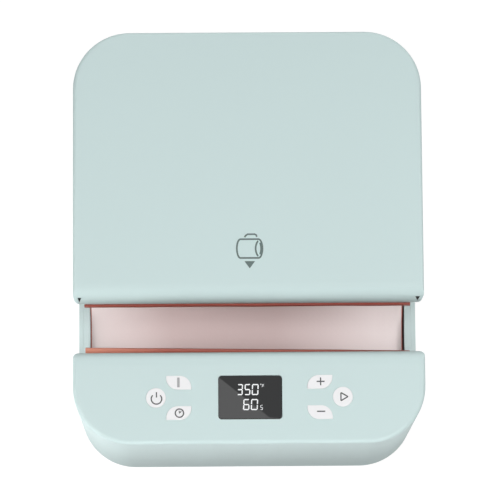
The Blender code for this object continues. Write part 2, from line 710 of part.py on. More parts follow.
# Base and what is fixed in it
def base_tray():
    bm = box((-HALF_WIDTH, -HALF_DEPTH, FOOT_HEIGHT), (HALF_WIDTH, HALF_DEPTH, RIM_HEIGHT))
    for y in (-HALF_DEPTH, HALF_DEPTH):
        round_corners(bm, HALF_WIDTH, y, CORNER_RADIUS)
    bottom = [edge for edge in bm.edges if all(vert.co.z < FLOOR_TOP for vert in edge.verts)]
    bmesh.ops.bevel(bm, geom=bottom, offset=BOTTOM_ROUND, segments=1, profile=0.5, affect="EDGES")
    tray = part("base_tray", bm, "mint_plastic")

    inside = box((-INNER_HALF_WIDTH, -INNER_HALF_DEPTH, FLOOR_TOP),
                 (INNER_HALF_WIDTH, INNER_HALF_DEPTH, RIM_HEIGHT + CUT_OVERRUN))
    for y in (-INNER_HALF_DEPTH, INNER_HALF_DEPTH):
        round_corners(inside, INNER_HALF_WIDTH, y, INNER_CORNER)
    cut(tray, tool("tray_inside", inside), solver="MANIFOLD")

    posts = bmesh.new()
    root = FLOOR_TOP - JOIN_DEPTH
    for x in (-HOUSING_POST_X, HOUSING_POST_X):
        top = COVER_BOTTOM - PARTING_GAP - FIT_GAP
        cylinder((x, HOUSING_POST_Y, root), (x, HOUSING_POST_Y, top), POST_RADIUS, bm=posts)
    for x in (-DECK_POST_X, DECK_POST_X):
        for y in (DECK_POST_FRONT, DECK_POST_REAR):
            cylinder((x, y, root), (x, y, DECK_BOTTOM - FIT_GAP), POST_RADIUS, bm=posts)
    for x in (POWER_BOARD_LEFT + STANDOFF_INSET, POWER_BOARD_RIGHT - STANDOFF_INSET):
        for y in (POWER_BOARD_FRONT + STANDOFF_INSET, POWER_BOARD_REAR - STANDOFF_INSET):
            cylinder((x, y, root), (x, y, POWER_BOARD_BOTTOM - FIT_GAP), STANDOFF_RADIUS, bm=posts)
    for front in switch_fronts():
        high = (SWITCH_LEFT + SWITCH_WIDTH, front + SWITCH_LENGTH, SWITCH_BOTTOM - FIT_GAP)
        box((SWITCH_LEFT, front, root), high, bm=posts)
    half_width, half_depth = SUPPORT_WIDTH / 2, SUPPORT_DEPTH / 2
    for x in (-ROD_X, ROD_X):
        for y in (FRONT_SUPPORT_Y, REAR_SUPPORT_Y):
            high = (x + half_width, y + half_depth, SUPPORT_TOP)
            box((x - half_width, y - half_depth, root), high, bm=posts)
    pegs = bmesh.new()
    for x in (-DECK_POST_X, DECK_POST_X):
        cylinder((x, DECK_POST_REAR, DECK_BOTTOM - FIT_GAP - JOIN_DEPTH),
                 (x, DECK_POST_REAR, DECK_TOP - FIT_GAP), DECK_PEG_RADIUS, bm=pegs)
    join(tray, tool("tray_posts", posts), tool("tray_pegs", pegs), solver="MANIFOLD")

    holes = bmesh.new()
    for x in (-HOUSING_POST_X, HOUSING_POST_X):
        cylinder((x, HOUSING_POST_Y, FOOT_HEIGHT - CUT_OVERRUN),
                 (x, HOUSING_POST_Y, RIM_HEIGHT + CUT_OVERRUN), HOLE_RADIUS, bm=holes)
    for x in (-DECK_POST_X, DECK_POST_X):
        tip = DECK_TOP - SCREW_HEAD_HEIGHT - DECK_SCREW_REACH - SCREW_TIP_ROOM
        cylinder((x, DECK_POST_FRONT, tip), (x, DECK_POST_FRONT, RIM_HEIGHT), HOLE_RADIUS, bm=holes)
    for x in (-ROD_X, ROD_X):
        cylinder((x, ROD_FRONT, ROD_HEIGHT), (x, ROD_REAR, ROD_HEIGHT), ROD_RADIUS + FIT_GAP, RING_STEPS,
                 bm=holes)
    cut(tray, tool("tray_screw_holes", holes), solver="MANIFOLD")
    heads = bmesh.new()
    for x in (-HOUSING_POST_X, HOUSING_POST_X):
        cylinder((x, HOUSING_POST_Y, FOOT_HEIGHT - CUT_OVERRUN), (x, HOUSING_POST_Y, FLOOR_TOP - FIT_GAP),
                 HEAD_HOLE_RADIUS, bm=heads)
    cut(tray, tool("tray_head_holes", heads), solver="MANIFOLD")

    half_width, half_height = INLET_HALF_WIDTH + FIT_GAP, INLET_HALF_HEIGHT + FIT_GAP
    inlet = box((INLET_X - half_width, INNER_HALF_DEPTH - CUT_OVERRUN, INLET_HEIGHT - half_height),
                (INLET_X + half_width, HALF_DEPTH + CUT_OVERRUN, INLET_HEIGHT + half_height))
    cut(tray, tool("tray_inlet_hole", inlet), solver="MANIFOLD")


def rubber_feet():
    top = FOOT_HEIGHT - FIT_GAP
    profile = [(0, 0), (FOOT_RADIUS - FOOT_TAPER, 0), (FOOT_RADIUS, top), (0, top)]
    for side_name, x in (("left", FOOT_INSET_X - HALF_WIDTH), ("right", HALF_WIDTH - FOOT_INSET_X)):
        for end_name, y in (("front", FOOT_INSET_Y - HALF_DEPTH), ("rear", HALF_DEPTH - FOOT_INSET_Y)):
            part(f"foot_{end_name}_{side_name}", turned(profile, (x, y, 0), steps=RING_STEPS), "rubber")


def end_plates():
    inside = END_PLATE_OUTSIDE - END_PLATE_THICKNESS
    for name, side in (("end_plate_left", -1), ("end_plate_right", 1)):
        low, high = sorted((side * END_PLATE_OUTSIDE, side * inside))
        part(name, box((low, END_PLATE_FRONT, FLOOR_TOP + FIT_GAP), (high, END_PLATE_REAR, RIM_HEIGHT)),
             "mint_plastic")


def jaw_cradles():
    """Two upright plates whose hollow top edges carry the front jaw."""
    bottom = FLOOR_TOP + FIT_GAP
    first = math.pi - math.asin((MUG_AXIS_Y - CRADLE_FRONT) / JAW_SEAT_RADIUS)
    last = math.pi + math.asin((CRADLE_REAR - MUG_AXIS_Y) / JAW_SEAT_RADIUS)
    steps = round((last - first) / JAW_STEP_ANGLE)
    seat = arc((MUG_AXIS_Y, MUG_AXIS_HEIGHT), JAW_SEAT_RADIUS, first + math.pi / 2, last + math.pi / 2, steps)
    outline = seat + [(CRADLE_REAR, bottom), (CRADLE_FRONT, bottom)]
    for name, side in (("jaw_cradle_left", -1), ("jaw_cradle_right", 1)):
        low, high = sorted((side * CRADLE_INSIDE, side * (CRADLE_INSIDE + CRADLE_THICKNESS)))
        part(name, prism([outline], low, high, "X"), "dark_plastic")


def jaw_layers(prefix, foot, lip_angles, parent=None):
    """The shell, foam, heater mat and edge of one jaw, from its foot to the layer ends at the slot."""
    shell_lip, mat_lip, edge_near, edge_far = lip_angles

    def layer(name, inner, thickness, first, last, half_length, finish_name):
        outline = band_outline(inner, inner + thickness, min(first, last), max(first, last))
        part(prefix + name, prism([outline], -half_length, half_length, "X"), finish_name, parent)

    layer("_jaw_shell", SHELL_RADIUS, SHELL_THICKNESS, shell_lip, foot, SHELL_HALF_LENGTH, "aluminium")
    layer("_foam", FOAM_RADIUS, FOAM_THICKNESS, shell_lip, foot, SHELL_HALF_LENGTH, "foam")
    layer("_heater_mat", MAT_RADIUS, MAT_THICKNESS, mat_lip, foot, MAT_HALF_LENGTH, "mat_fabric")
    layer("_mat_edge", MAT_RADIUS, MAT_EDGE_THICKNESS, edge_near, edge_far, MAT_HALF_LENGTH,
          "copper_silicone")


def front_jaw():
    jaw_layers("front", JAW_SPLIT, (FOAM_START, MAT_START, MAT_EDGE_START, MAT_EDGE_END))


def rear_jaw(parent):
    mirrored = [math.tau - angle for angle in (FOAM_START, MAT_START, MAT_EDGE_START, MAT_EDGE_END)]
    jaw_layers("rear", JAW_SPLIT + JAW_SPLIT_GAP, mirrored, parent)


def deck_plate():
    edge = INNER_HALF_WIDTH - FIT_GAP
    rear = INNER_HALF_DEPTH - FIT_GAP
    corner = INNER_CORNER - FIT_GAP
    outlines = [rounded_outline((-edge, DECK_FRONT), (edge, rear), (0, 0, corner, corner),
                                (CORNER_STEPS,) * 4)]
    half_slot = RIB_THICKNESS / 2 + RIB_SLOT_GAP
    for x in (-RIB_X, RIB_X):
        outlines.append(rectangle((x - half_slot, RIB_FRONT - RIB_SLOT_GAP),
                                  (x + half_slot, RIB_REAR + JAW_TRAVEL + RIB_SLOT_GAP)))
        side = math.copysign(DECK_POST_X, x)
        outlines.append(circle_outline((side, DECK_POST_FRONT), HOLE_RADIUS, SMALL_RING_STEPS))
        outlines.append(circle_outline((side, DECK_POST_REAR), DECK_PEG_RADIUS + FIT_GAP, SMALL_RING_STEPS))
    deck = part("deck_plate", prism(outlines, DECK_BOTTOM, DECK_TOP, "Z"), "dark_plastic")
    seats = bmesh.new()
    seat = DECK_TOP - SCREW_HEAD_HEIGHT
    places = [(x, DECK_POST_FRONT, seat) for x in (-DECK_POST_X, DECK_POST_X)]
    for x, y, z in places:
        cylinder((x, y, z - FIT_GAP), (x, y, DECK_TOP + CUT_OVERRUN), HEAD_HOLE_RADIUS, bm=seats)
    cut(deck, tool("deck_head_seats", seats))
    screw_pair("deck_screw", places, (0, 0, -1), DECK_SCREW_REACH)


def guide_rods():
    for name, side in (("guide_rod_left", -1), ("guide_rod_right", 1)):
        x = side * ROD_X
        rod = cylinder((x, ROD_FRONT, ROD_HEIGHT), (x, ROD_REAR, ROD_HEIGHT), ROD_RADIUS, RING_STEPS)
        part(name, rod, "steel")


def gear_motor():
    centre = (PINION_Y, PINION_HEIGHT)
    end = GEARBOX_LEFT + GEARBOX_LENGTH
    part("gearbox", cylinder((GEARBOX_LEFT, *centre), (end, *centre), GEARBOX_RADIUS, RING_STEPS), "steel")
    cap = MOTOR_LENGTH - MOTOR_END_CAP
    profile = [(0, 0), (MOTOR_RADIUS, 0), (MOTOR_RADIUS, cap), (MOTOR_END_RADIUS, cap),
               (MOTOR_END_RADIUS, MOTOR_LENGTH), (0, MOTOR_LENGTH)]
    motor = turned(profile, (end + FIT_GAP, *centre), (1, 0, 0), steps=RING_STEPS)
    part("gear_motor", motor, "aluminium")


def motor_bracket():
    """A U of plate on the floor whose two cheeks hold the pinion's shaft and the gearbox."""
    bottom = FLOOR_TOP + FIT_GAP
    outline = rectangle((PINION_Y - BRACKET_HALF_DEPTH, bottom), (PINION_Y + BRACKET_HALF_DEPTH, BRACKET_TOP))
    hole = circle_outline((PINION_Y, PINION_HEIGHT), PINION_SHAFT_RADIUS + FIT_GAP, SMALL_RING_STEPS)
    outside = BRACKET_INSIDE + BRACKET_THICKNESS
    bracket = part("motor_bracket", prism([outline, hole], BRACKET_INSIDE, outside, "X"), "steel")
    other = tool("bracket_cheek", prism([outline, hole], -outside, -BRACKET_INSIDE, "X"))
    reach = outside - JOIN_DEPTH
    strap = box((-reach, PINION_Y - BRACKET_HALF_DEPTH, bottom),
                (reach, PINION_Y + BRACKET_HALF_DEPTH, bottom + BRACKET_THICKNESS))
    join(bracket, tool("bracket_strap", strap), other)


def switch_fronts():
    """The low Y faces of the front and the rear limit switch."""
    room = SWITCH_PLUNGER_LENGTH + FIT_GAP
    return CARRIAGE_FRONT - room - SWITCH_LENGTH, CARRIAGE_REAR + JAW_TRAVEL + room


def limit_switches():
    x = SWITCH_LEFT + SWITCH_WIDTH / 2
    z = (CARRIAGE_UNDERSIDE + CARRIAGE_TOP) / 2
    ends = (("limit_switch_front", 1), ("limit_switch_rear", -1))
    for (name, side), front in zip(ends, switch_fronts()):
        low = (SWITCH_LEFT, front, SWITCH_BOTTOM)
        high = (SWITCH_LEFT + SWITCH_WIDTH, front + SWITCH_LENGTH, SWITCH_BOTTOM + SWITCH_HEIGHT)
        body = part(name, rounded_box(low, high, PART_ROUND), "dark_plastic")
        face = high[1] if side > 0 else low[1]
        plunger = cylinder((x, face - side * JOIN_DEPTH, z), (x, face + side * SWITCH_PLUNGER_LENGTH, z),
                           SWITCH_PLUNGER_RADIUS)
        join(body, tool(name + "_plunger", plunger))


def power_inlet():
    low = (INLET_X - INLET_HALF_WIDTH, INLET_BACK, INLET_HEIGHT - INLET_HALF_HEIGHT)
    high = (INLET_X + INLET_HALF_WIDTH, INLET_FACE, INLET_HEIGHT + INLET_HALF_HEIGHT)
    body = part("power_inlet", box(low, high), "dark_plastic")
    margin = INLET_FLANGE_MARGIN
    flange_rear = INNER_HALF_DEPTH - FIT_GAP
    flange = box((low[0] - margin, flange_rear - INLET_FLANGE_THICKNESS, low[2] - margin),
                 (high[0] + margin, flange_rear, high[2] + margin))
    join(body, tool("inlet_flange", flange))
    half_width, half_height = INLET_HALF_WIDTH - SOCKET_WALL, INLET_HALF_HEIGHT - SOCKET_WALL
    left, right = INLET_X - half_width, INLET_X + half_width
    bottom, top = INLET_HEIGHT - half_height, INLET_HEIGHT + half_height
    mouth = [(left, bottom), (right, bottom), (right, top - SOCKET_CHAMFER), (right - SOCKET_CHAMFER, top),
             (left + SOCKET_CHAMFER, top), (left, top - SOCKET_CHAMFER)]
    cut(body, tool("inlet_socket", prism([mouth], SOCKET_FLOOR, INLET_FACE + CUT_OVERRUN, "Y")))

    pins = bmesh.new()
    half = (PIN_WIDTH / 2, PIN_HEIGHT / 2)
    places = ((-PIN_SPACING, -PIN_OFFSET), (0, PIN_OFFSET), (PIN_SPACING, -PIN_OFFSET))
    for dx, dz in places:
        x, z = INLET_X + dx, INLET_HEIGHT + dz
        box((x - half[0], SOCKET_FLOOR - JOIN_DEPTH, z - half[1]),
            (x + half[0], INLET_FACE - PIN_SETBACK, z + half[1]), bm=pins)
    join(body, tool("inlet_pins", pins))


def power_electronics():
    board = box((POWER_BOARD_LEFT, POWER_BOARD_FRONT, POWER_BOARD_BOTTOM),
                (POWER_BOARD_RIGHT, POWER_BOARD_REAR, POWER_BOARD_TOP))
    part("power_board", board, "board_green")
    seat = POWER_BOARD_TOP + FIT_GAP

    x, y = POWER_BOARD_LEFT + TRANSFORMER_OFFSET[0], POWER_BOARD_FRONT + TRANSFORMER_OFFSET[1]
    width, depth, height = TRANSFORMER_SIZE
    side = TRANSFORMER_LAMINATION
    core = rounded_box((x, y + side, seat), (x + width, y + depth - side, seat + height), PART_ROUND)
    transformer = part("transformer", core, "steel")
    winding = rounded_box((x + side, y, seat + side), (x + width - side, y + depth, seat + height - side),
                          PART_ROUND)
    join(transformer, tool("transformer_winding", winding))

    x, y = POWER_BOARD_LEFT + RELAY_OFFSET[0], POWER_BOARD_FRONT + RELAY_OFFSET[1]
    width, depth, height = RELAY_SIZE
    relay = rounded_box((x, y, seat), (x + width, y + depth, seat + height), PART_ROUND)
    part("heater_relay", relay, "relay_blue")

    x, y = POWER_BOARD_RIGHT - CAPACITOR_INSET, POWER_BOARD_FRONT + CAPACITOR_BACK
    top = seat + CAPACITOR_HEIGHT
    can = turned([(0, seat), (CAPACITOR_RADIUS, seat), (CAPACITOR_RADIUS, top - PART_ROUND),
                  (CAPACITOR_RADIUS - PART_ROUND, top), (0, top)], (x, y, 0), steps=RING_STEPS)
    part("filter_capacitor", can, "dark_plastic")


def thermostat():
    top = THERMOSTAT_TOP
    bottom = top - THERMOSTAT_HEIGHT
    rim_top, rim_bottom = top - THERMOSTAT_LIP, top - THERMOSTAT_LIP - THERMOSTAT_RIM
    profile = [(0, bottom), (THERMOSTAT_LIP_RADIUS, bottom), (THERMOSTAT_LIP_RADIUS, rim_bottom),
               (THERMOSTAT_RADIUS, rim_bottom), (THERMOSTAT_RADIUS, rim_top), (0, rim_top)]
    body = turned(profile, (THERMOSTAT_X, MUG_AXIS_Y, 0), steps=RING_STEPS)
    cap = part("thermostat", body, "aluminium")
    face = cylinder((THERMOSTAT_X, MUG_AXIS_Y, top - THERMOSTAT_LIP - JOIN_DEPTH),
                    (THERMOSTAT_X, MUG_AXIS_Y, top), THERMOSTAT_LIP_RADIUS, RING_STEPS)
    join(cap, tool("thermostat_face", face))


def leads():
    floor = FLOOR_TOP + FIT_GAP
    start = POWER_BOARD_FRONT - FIT_GAP
    z = floor + HARNESS_RADIUS
    route = [(HARNESS_X, start, z), (HARNESS_X, HARNESS_FRONT, z),
             (HARNESS_X, HARNESS_FRONT, CONTROL_BOARD_BOTTOM - FIT_GAP)]
    part("wire_harness", lead(route, HARNESS_RADIUS, HARNESS_BEND), "cable_black")

    z = POWER_BOARD_BOTTOM
    bottom = THERMOSTAT_TOP - THERMOSTAT_HEIGHT
    route = [(THERMOSTAT_X, start, z), (THERMOSTAT_X, MUG_AXIS_Y, z),
             (THERMOSTAT_X, MUG_AXIS_Y, bottom - FIT_GAP)]
    part("heater_lead", lead(route, HEATER_LEAD_RADIUS, HEATER_LEAD_BEND), "cable_black")

    z = FLOOR_TOP + MAINS_LEAD_RISE
    turn = INLET_BACK - MAINS_LEAD_RUN
    route = [(INLET_X, INLET_BACK - FIT_GAP, z), (INLET_X, turn, z), (POWER_BOARD_RIGHT + FIT_GAP, turn, z)]
    part("mains_lead", lead(route, MAINS_LEAD_RADIUS, MAINS_LEAD_BEND), "cable_black")


# Front housing and the controls
def leaf_outline(centre, lean, margin=0.0):
    """A leaf: two opposite corners are wide quarter circles and the other two are nearly sharp."""
    half_length, half_width = LEAF_LENGTH / 2 + margin, LEAF_WIDTH / 2 + margin
    wide, tight = LEAF_WIDTH - LEAF_CORNER - LEAF_FLAT + margin, LEAF_CORNER + margin
    radii = (wide, tight, wide, tight) if lean == "falling" else (tight, wide, tight, wide)
    low = (centre[0] - half_length, centre[1] - half_width)
    high = (centre[0] + half_length, centre[1] + half_width)
    steps = [LEAF_STEPS if radius == wide else TIGHT_STEPS for radius in radii]
    return rounded_outline(low, high, radii, steps)


def button_outline(x, y, lean, margin=0.0):
    if lean is None:
        return circle_outline((x, y), ROUND_BUTTON_RADIUS + margin, RING_STEPS)
    return leaf_outline((x, y), lean, margin)


def window_outline(margin):
    half_width, half_depth = WINDOW_WIDTH / 2 + margin, WINDOW_DEPTH / 2 + margin
    radius = WINDOW_CORNER + margin
    return rounded_outline((WINDOW_X - half_width, WINDOW_Y - half_depth),
                           (WINDOW_X + half_width, WINDOW_Y + half_depth), (radius,) * 4)


def side_window_cutter():
    reach = HALF_WIDTH + CUT_OVERRUN
    drum = cylinder((-reach, MUG_AXIS_Y, MUG_AXIS_HEIGHT), (reach, MUG_AXIS_Y, MUG_AXIS_HEIGHT),
                    SIDE_WINDOW_RADIUS, SIDE_WINDOW_STEPS)
    return tool("side_windows", drum)


def cover_shell(name, lip, lip_side, roll, windows, parent=None):
    """One of the two covers: a rounded shell, open below and at the jaw, with a rolled lip at the slot.

    lip_side is 1 where the slot is at the rear of the piece, and -1 where it is at the front.
    """
    far = -lip_side * HALF_DEPTH
    front, rear = sorted((lip, far))
    outer = box((-HALF_WIDTH, front, COVER_BOTTOM), (HALF_WIDTH, rear, BODY_HEIGHT))
    round_corners(outer, HALF_WIDTH, far, CORNER_RADIUS)
    round_corners(outer, HALF_WIDTH, lip, LIP_CORNER)
    round_top(outer, BODY_HEIGHT, EDGE_ROUND)
    cover = part(name, outer, "mint_plastic", parent)
    beyond = far - lip_side * CUT_OVERRUN
    side = lip_profile(name + "_side", lip, beyond, COVER_BOTTOM - CUT_OVERRUN, BODY_HEIGHT,
                       HALF_WIDTH + CUT_OVERRUN, roll, lip_side)
    combine(cover, "INTERSECT", [side], "MANIFOLD")

    inner_lip, inner_far = lip - lip_side * WALL, far + lip_side * WALL
    low, high = sorted((inner_lip, inner_far))
    inner = box((-INNER_HALF_WIDTH, low, COVER_BOTTOM - CUT_OVERRUN),
                (INNER_HALF_WIDTH, high, PANEL_UNDERSIDE))
    round_corners(inner, INNER_HALF_WIDTH, inner_far, INNER_CORNER)
    inside = tool(name + "_inside", inner)
    side = lip_profile(name + "_inner_side", inner_lip, inner_far - lip_side * CUT_OVERRUN,
                       COVER_BOTTOM - CUT_OVERRUN * 2, PANEL_UNDERSIDE, HALF_WIDTH, roll - WALL, lip_side)
    combine(inside, "INTERSECT", [side], "MANIFOLD")
    low, high = sorted((lip - lip_side * (WALL + CUT_OVERRUN), lip + lip_side * CUT_OVERRUN))
    throat = box((-INNER_HALF_WIDTH, low, COVER_BOTTOM - CUT_OVERRUN), (INNER_HALF_WIDTH, high, LIP_HEIGHT))
    cut(cover, inside, tool(name + "_throat", throat), windows, solver="MANIFOLD")
    return cover


def front_housing(windows):
    housing = cover_shell("front_housing", FRONT_LIP_Y, 1, FRONT_LIP_ROLL, windows)
    outlines = [window_outline(WINDOW_GAP)]
    outlines += [button_outline(x, y, lean, BUTTON_GAP) for x, y, lean in BUTTONS.values()]
    openings = bmesh.new()
    for number, outline in enumerate(outlines):
        hole = prism([outline], PANEL_UNDERSIDE - CUT_OVERRUN, BODY_HEIGHT + CUT_OVERRUN, "Z")
        mesh = bpy.data.meshes.new(f"panel_hole_{number}")
        hole.to_mesh(mesh)
        hole.free()
        openings.from_mesh(mesh)
        bpy.data.meshes.remove(mesh)
    cut(housing, tool("panel_holes", openings), solver="MANIFOLD")

    posts = bmesh.new()
    for x in (-HOUSING_POST_X, HOUSING_POST_X):
        bottom = COVER_BOTTOM - FIT_GAP
        cylinder((x, HOUSING_POST_Y, bottom), (x, HOUSING_POST_Y, HOUSING_POST_TOP), POST_RADIUS, bm=posts)
    for x in (-BOARD_BOSS_X, BOARD_BOSS_X):
        cylinder((x, BOARD_BOSS_Y, CONTROL_BOARD_TOP + FIT_GAP),
                 (x, BOARD_BOSS_Y, PANEL_UNDERSIDE + JOIN_DEPTH), BOARD_BOSS_RADIUS, bm=posts)
    webs = bmesh.new()
    half_web = POST_WEB_THICKNESS / 2
    for x in (-HOUSING_POST_X, HOUSING_POST_X):
        box((x - half_web, -INNER_HALF_DEPTH - JOIN_DEPTH, COVER_BOTTOM),
            (x + half_web, HOUSING_POST_Y - HOLE_RADIUS - JOIN_DEPTH, HOUSING_POST_TOP - JOIN_DEPTH), bm=webs)
    join(housing, tool("housing_webs", webs), tool("housing_posts", posts), solver="MANIFOLD")
    holes = bmesh.new()
    for x in (-HOUSING_POST_X, HOUSING_POST_X):
        tip = COVER_BOTTOM + HOUSING_SCREW_REACH + SCREW_TIP_ROOM
        cylinder((x, HOUSING_POST_Y, COVER_BOTTOM - CUT_OVERRUN), (x, HOUSING_POST_Y, tip), HOLE_RADIUS,
                 bm=holes)
    for x in (-BOARD_BOSS_X, BOARD_BOSS_X):
        tip = CONTROL_BOARD_TOP + BOARD_SCREW_REACH + PART_ROUND
        cylinder((x, BOARD_BOSS_Y, CONTROL_BOARD_TOP - CUT_OVERRUN), (x, BOARD_BOSS_Y, tip), HOLE_RADIUS,
                 bm=holes)
    cut(housing, tool("housing_screw_holes", holes), solver="MANIFOLD")

    seat = FLOOR_TOP - FIT_GAP * 2
    places = [(x, HOUSING_POST_Y, seat) for x in (-HOUSING_POST_X, HOUSING_POST_X)]
    screw_pair("housing_screw", places, (0, 0, 1), COVER_BOTTOM + HOUSING_SCREW_REACH - seat)


def control_board():
    """The board under the panel, with a soldered switch below each button."""
    outlines = [rectangle((-CONTROL_BOARD_HALF_WIDTH, CONTROL_BOARD_FRONT),
                          (CONTROL_BOARD_HALF_WIDTH, CONTROL_BOARD_REAR))]
    for x in (-BOARD_BOSS_X, BOARD_BOSS_X):
        outlines.append(circle_outline((x, BOARD_BOSS_Y), HOLE_RADIUS, SMALL_RING_STEPS))
    plate = prism(outlines, CONTROL_BOARD_BOTTOM, CONTROL_BOARD_TOP, "Z")
    board = part("control_board", plate, "board_green")
    bodies = bmesh.new()
    plungers = bmesh.new()
    half = SWITCH_BODY / 2
    top = CONTROL_BOARD_TOP + SWITCH_BODY_HEIGHT
    for x, y, _ in BUTTONS.values():
        box((x - half, y - half, CONTROL_BOARD_TOP - JOIN_DEPTH), (x + half, y + half, top), bm=bodies)
        cylinder((x, y, top - JOIN_DEPTH), (x, y, top + SWITCH_BUTTON_HEIGHT), BUTTON_STEM_RADIUS,
                 bm=plungers)
    join(board, tool("switch_bodies", bodies), tool("switch_plungers", plungers))

    seat = CONTROL_BOARD_BOTTOM - FIT_GAP
    places = [(x, BOARD_BOSS_Y, seat) for x in (-BOARD_BOSS_X, BOARD_BOSS_X)]
    screw_pair("board_screw", places, (0, 0, 1), CONTROL_BOARD_TOP + BOARD_SCREW_REACH - seat)


def display():
    flange_bottom = FLANGE_TOP - WINDOW_FLANGE_THICKNESS
    middle = flange_bottom + WINDOW_FLANGE_THICKNESS / 2
    pane = prism([window_outline(0)], middle, BODY_HEIGHT - WINDOW_SINK, "Z")
    window = part("display_window", pane, "dark_lens")
    flange = prism([window_outline(WINDOW_FLANGE_MARGIN)], flange_bottom, FLANGE_TOP, "Z")
    join(window, tool("window_flange", flange))
    half_width, half_depth = WINDOW_WIDTH / 2 + DISPLAY_MARGIN, WINDOW_DEPTH / 2 + DISPLAY_MARGIN
    module = rounded_box((WINDOW_X - half_width, WINDOW_Y - half_depth, CONTROL_BOARD_TOP + FIT_GAP),
                         (WINDOW_X + half_width, WINDOW_Y + half_depth, flange_bottom - FIT_GAP), PART_ROUND)
    part("display_module", module, "dark_plastic")


def buttons():
    """Six caps that travel down onto their switches, each kept in by a flange under the panel."""
    top = BODY_HEIGHT + BUTTON_RISE
    flange_bottom = FLANGE_TOP - BUTTON_FLANGE_THICKNESS
    switch_top = CONTROL_BOARD_TOP + SWITCH_BODY_HEIGHT + SWITCH_BUTTON_HEIGHT
    stem_bottom = switch_top + BUTTON_TRAVEL + FIT_GAP
    for name, (x, y, lean) in BUTTONS.items():
        empty = axis_empty(name + "_axis", (x, y, BODY_HEIGHT))
        flange = button_outline(x, y, lean, BUTTON_FLANGE_MARGIN)
        side = button_outline(x, y, lean)
        face = button_outline(x, y, lean, -BUTTON_EDGE_ROUND)
        cap = stacked([(flange, flange_bottom), (flange, FLANGE_TOP), (side, FLANGE_TOP),
                       (side, top - BUTTON_EDGE_ROUND), (face, top)])
        button = part(name, cap, "white_plastic", empty)
        stem = cylinder((x, y, stem_bottom), (x, y, flange_bottom + JOIN_DEPTH), BUTTON_STEM_RADIUS)
        join(button, tool(name + "_stem", stem), solver="MANIFOLD")


# Sliding rear unit
def carriage(parent):
    plate = box((-CARRIAGE_HALF_WIDTH, CARRIAGE_FRONT, CARRIAGE_UNDERSIDE),
                (CARRIAGE_HALF_WIDTH, CARRIAGE_REAR, CARRIAGE_TOP))
    frame = part("carriage_plate", plate, "aluminium", parent)
    blocks = bmesh.new()
    bores = bmesh.new()
    half = BLOCK_WIDTH / 2
    for name, x in (("slide_bush_left", -ROD_X), ("slide_bush_right", ROD_X)):
        box((x - half, CARRIAGE_FRONT, BLOCK_BOTTOM),
            (x + half, CARRIAGE_REAR, CARRIAGE_UNDERSIDE + JOIN_DEPTH), bm=blocks)
        cylinder((x, CARRIAGE_FRONT - CUT_OVERRUN, ROD_HEIGHT), (x, CARRIAGE_REAR + CUT_OVERRUN, ROD_HEIGHT),
                 BUSH_RADIUS + FIT_GAP, RING_STEPS, bm=bores)
        rings = [circle_outline((x, ROD_HEIGHT), BUSH_RADIUS),
                 circle_outline((x, ROD_HEIGHT), ROD_RADIUS + FIT_GAP)]
        bush = prism(rings, CARRIAGE_FRONT + BUSH_INSET, CARRIAGE_REAR - BUSH_INSET, "Y")
        part(name, bush, "brass", parent)
    join(frame, tool("carriage_blocks", blocks))
    cut(frame, tool("carriage_bores", bores))
    holes = bmesh.new()
    for y in (RACK_STUD_FRONT, RACK_STUD_REAR):
        cylinder((0, y, CARRIAGE_UNDERSIDE - CUT_OVERRUN), (0, y, CARRIAGE_TOP + CUT_OVERRUN),
                 RACK_STUD_RADIUS + FIT_GAP, bm=holes)
    cut(frame, tool("carriage_stud_holes", holes))


def drive_rack(parent):
    """A straight rack under the carriage, its teeth down; a space is centred over the pinion."""
    pitch = math.pi * GEAR_MODULE
    slope = math.tan(PRESSURE_ANGLE)
    tip, root = PITCH_LINE - GEAR_MODULE, PITCH_LINE + GEAR_MODULE * DEDENDUM_SHARE
    half_tooth = pitch / 4 - TOOTH_BACKLASH / 2
    tip_half, root_half = half_tooth - GEAR_MODULE * slope, half_tooth + GEAR_MODULE * DEDENDUM_SHARE * slope
    first = math.ceil((RACK_FRONT + pitch / 2 - PINION_Y) / pitch - 1 / 2)
    last = math.floor((RACK_REAR - pitch / 2 - PINION_Y) / pitch - 1 / 2)
    outline = [(RACK_FRONT, RACK_TOP), (RACK_FRONT, root)]
    for number in range(first, last + 1):
        y = PINION_Y + pitch * (number + 1 / 2)
        outline += [(y - root_half, root), (y - tip_half, tip), (y + tip_half, tip), (y + root_half, root)]
    outline += [(RACK_REAR, root), (RACK_REAR, RACK_TOP)]
    half = PINION_WIDTH / 2
    rack = part("drive_rack", prism([outline], -half, half, "X"), "steel", parent)
    studs = bmesh.new()
    for y in (RACK_STUD_FRONT, RACK_STUD_REAR):
        cylinder((0, y, RACK_TOP - JOIN_DEPTH), (0, y, CARRIAGE_TOP), RACK_STUD_RADIUS, bm=studs)
    join(rack, tool("rack_studs", studs), solver="MANIFOLD")


def involute_angle(base, radius):
    """The polar angle that an involute has run through at a radius."""
    roll = math.sqrt(max(0.0, (radius / base) ** 2 - 1))
    return roll - math.atan(roll)


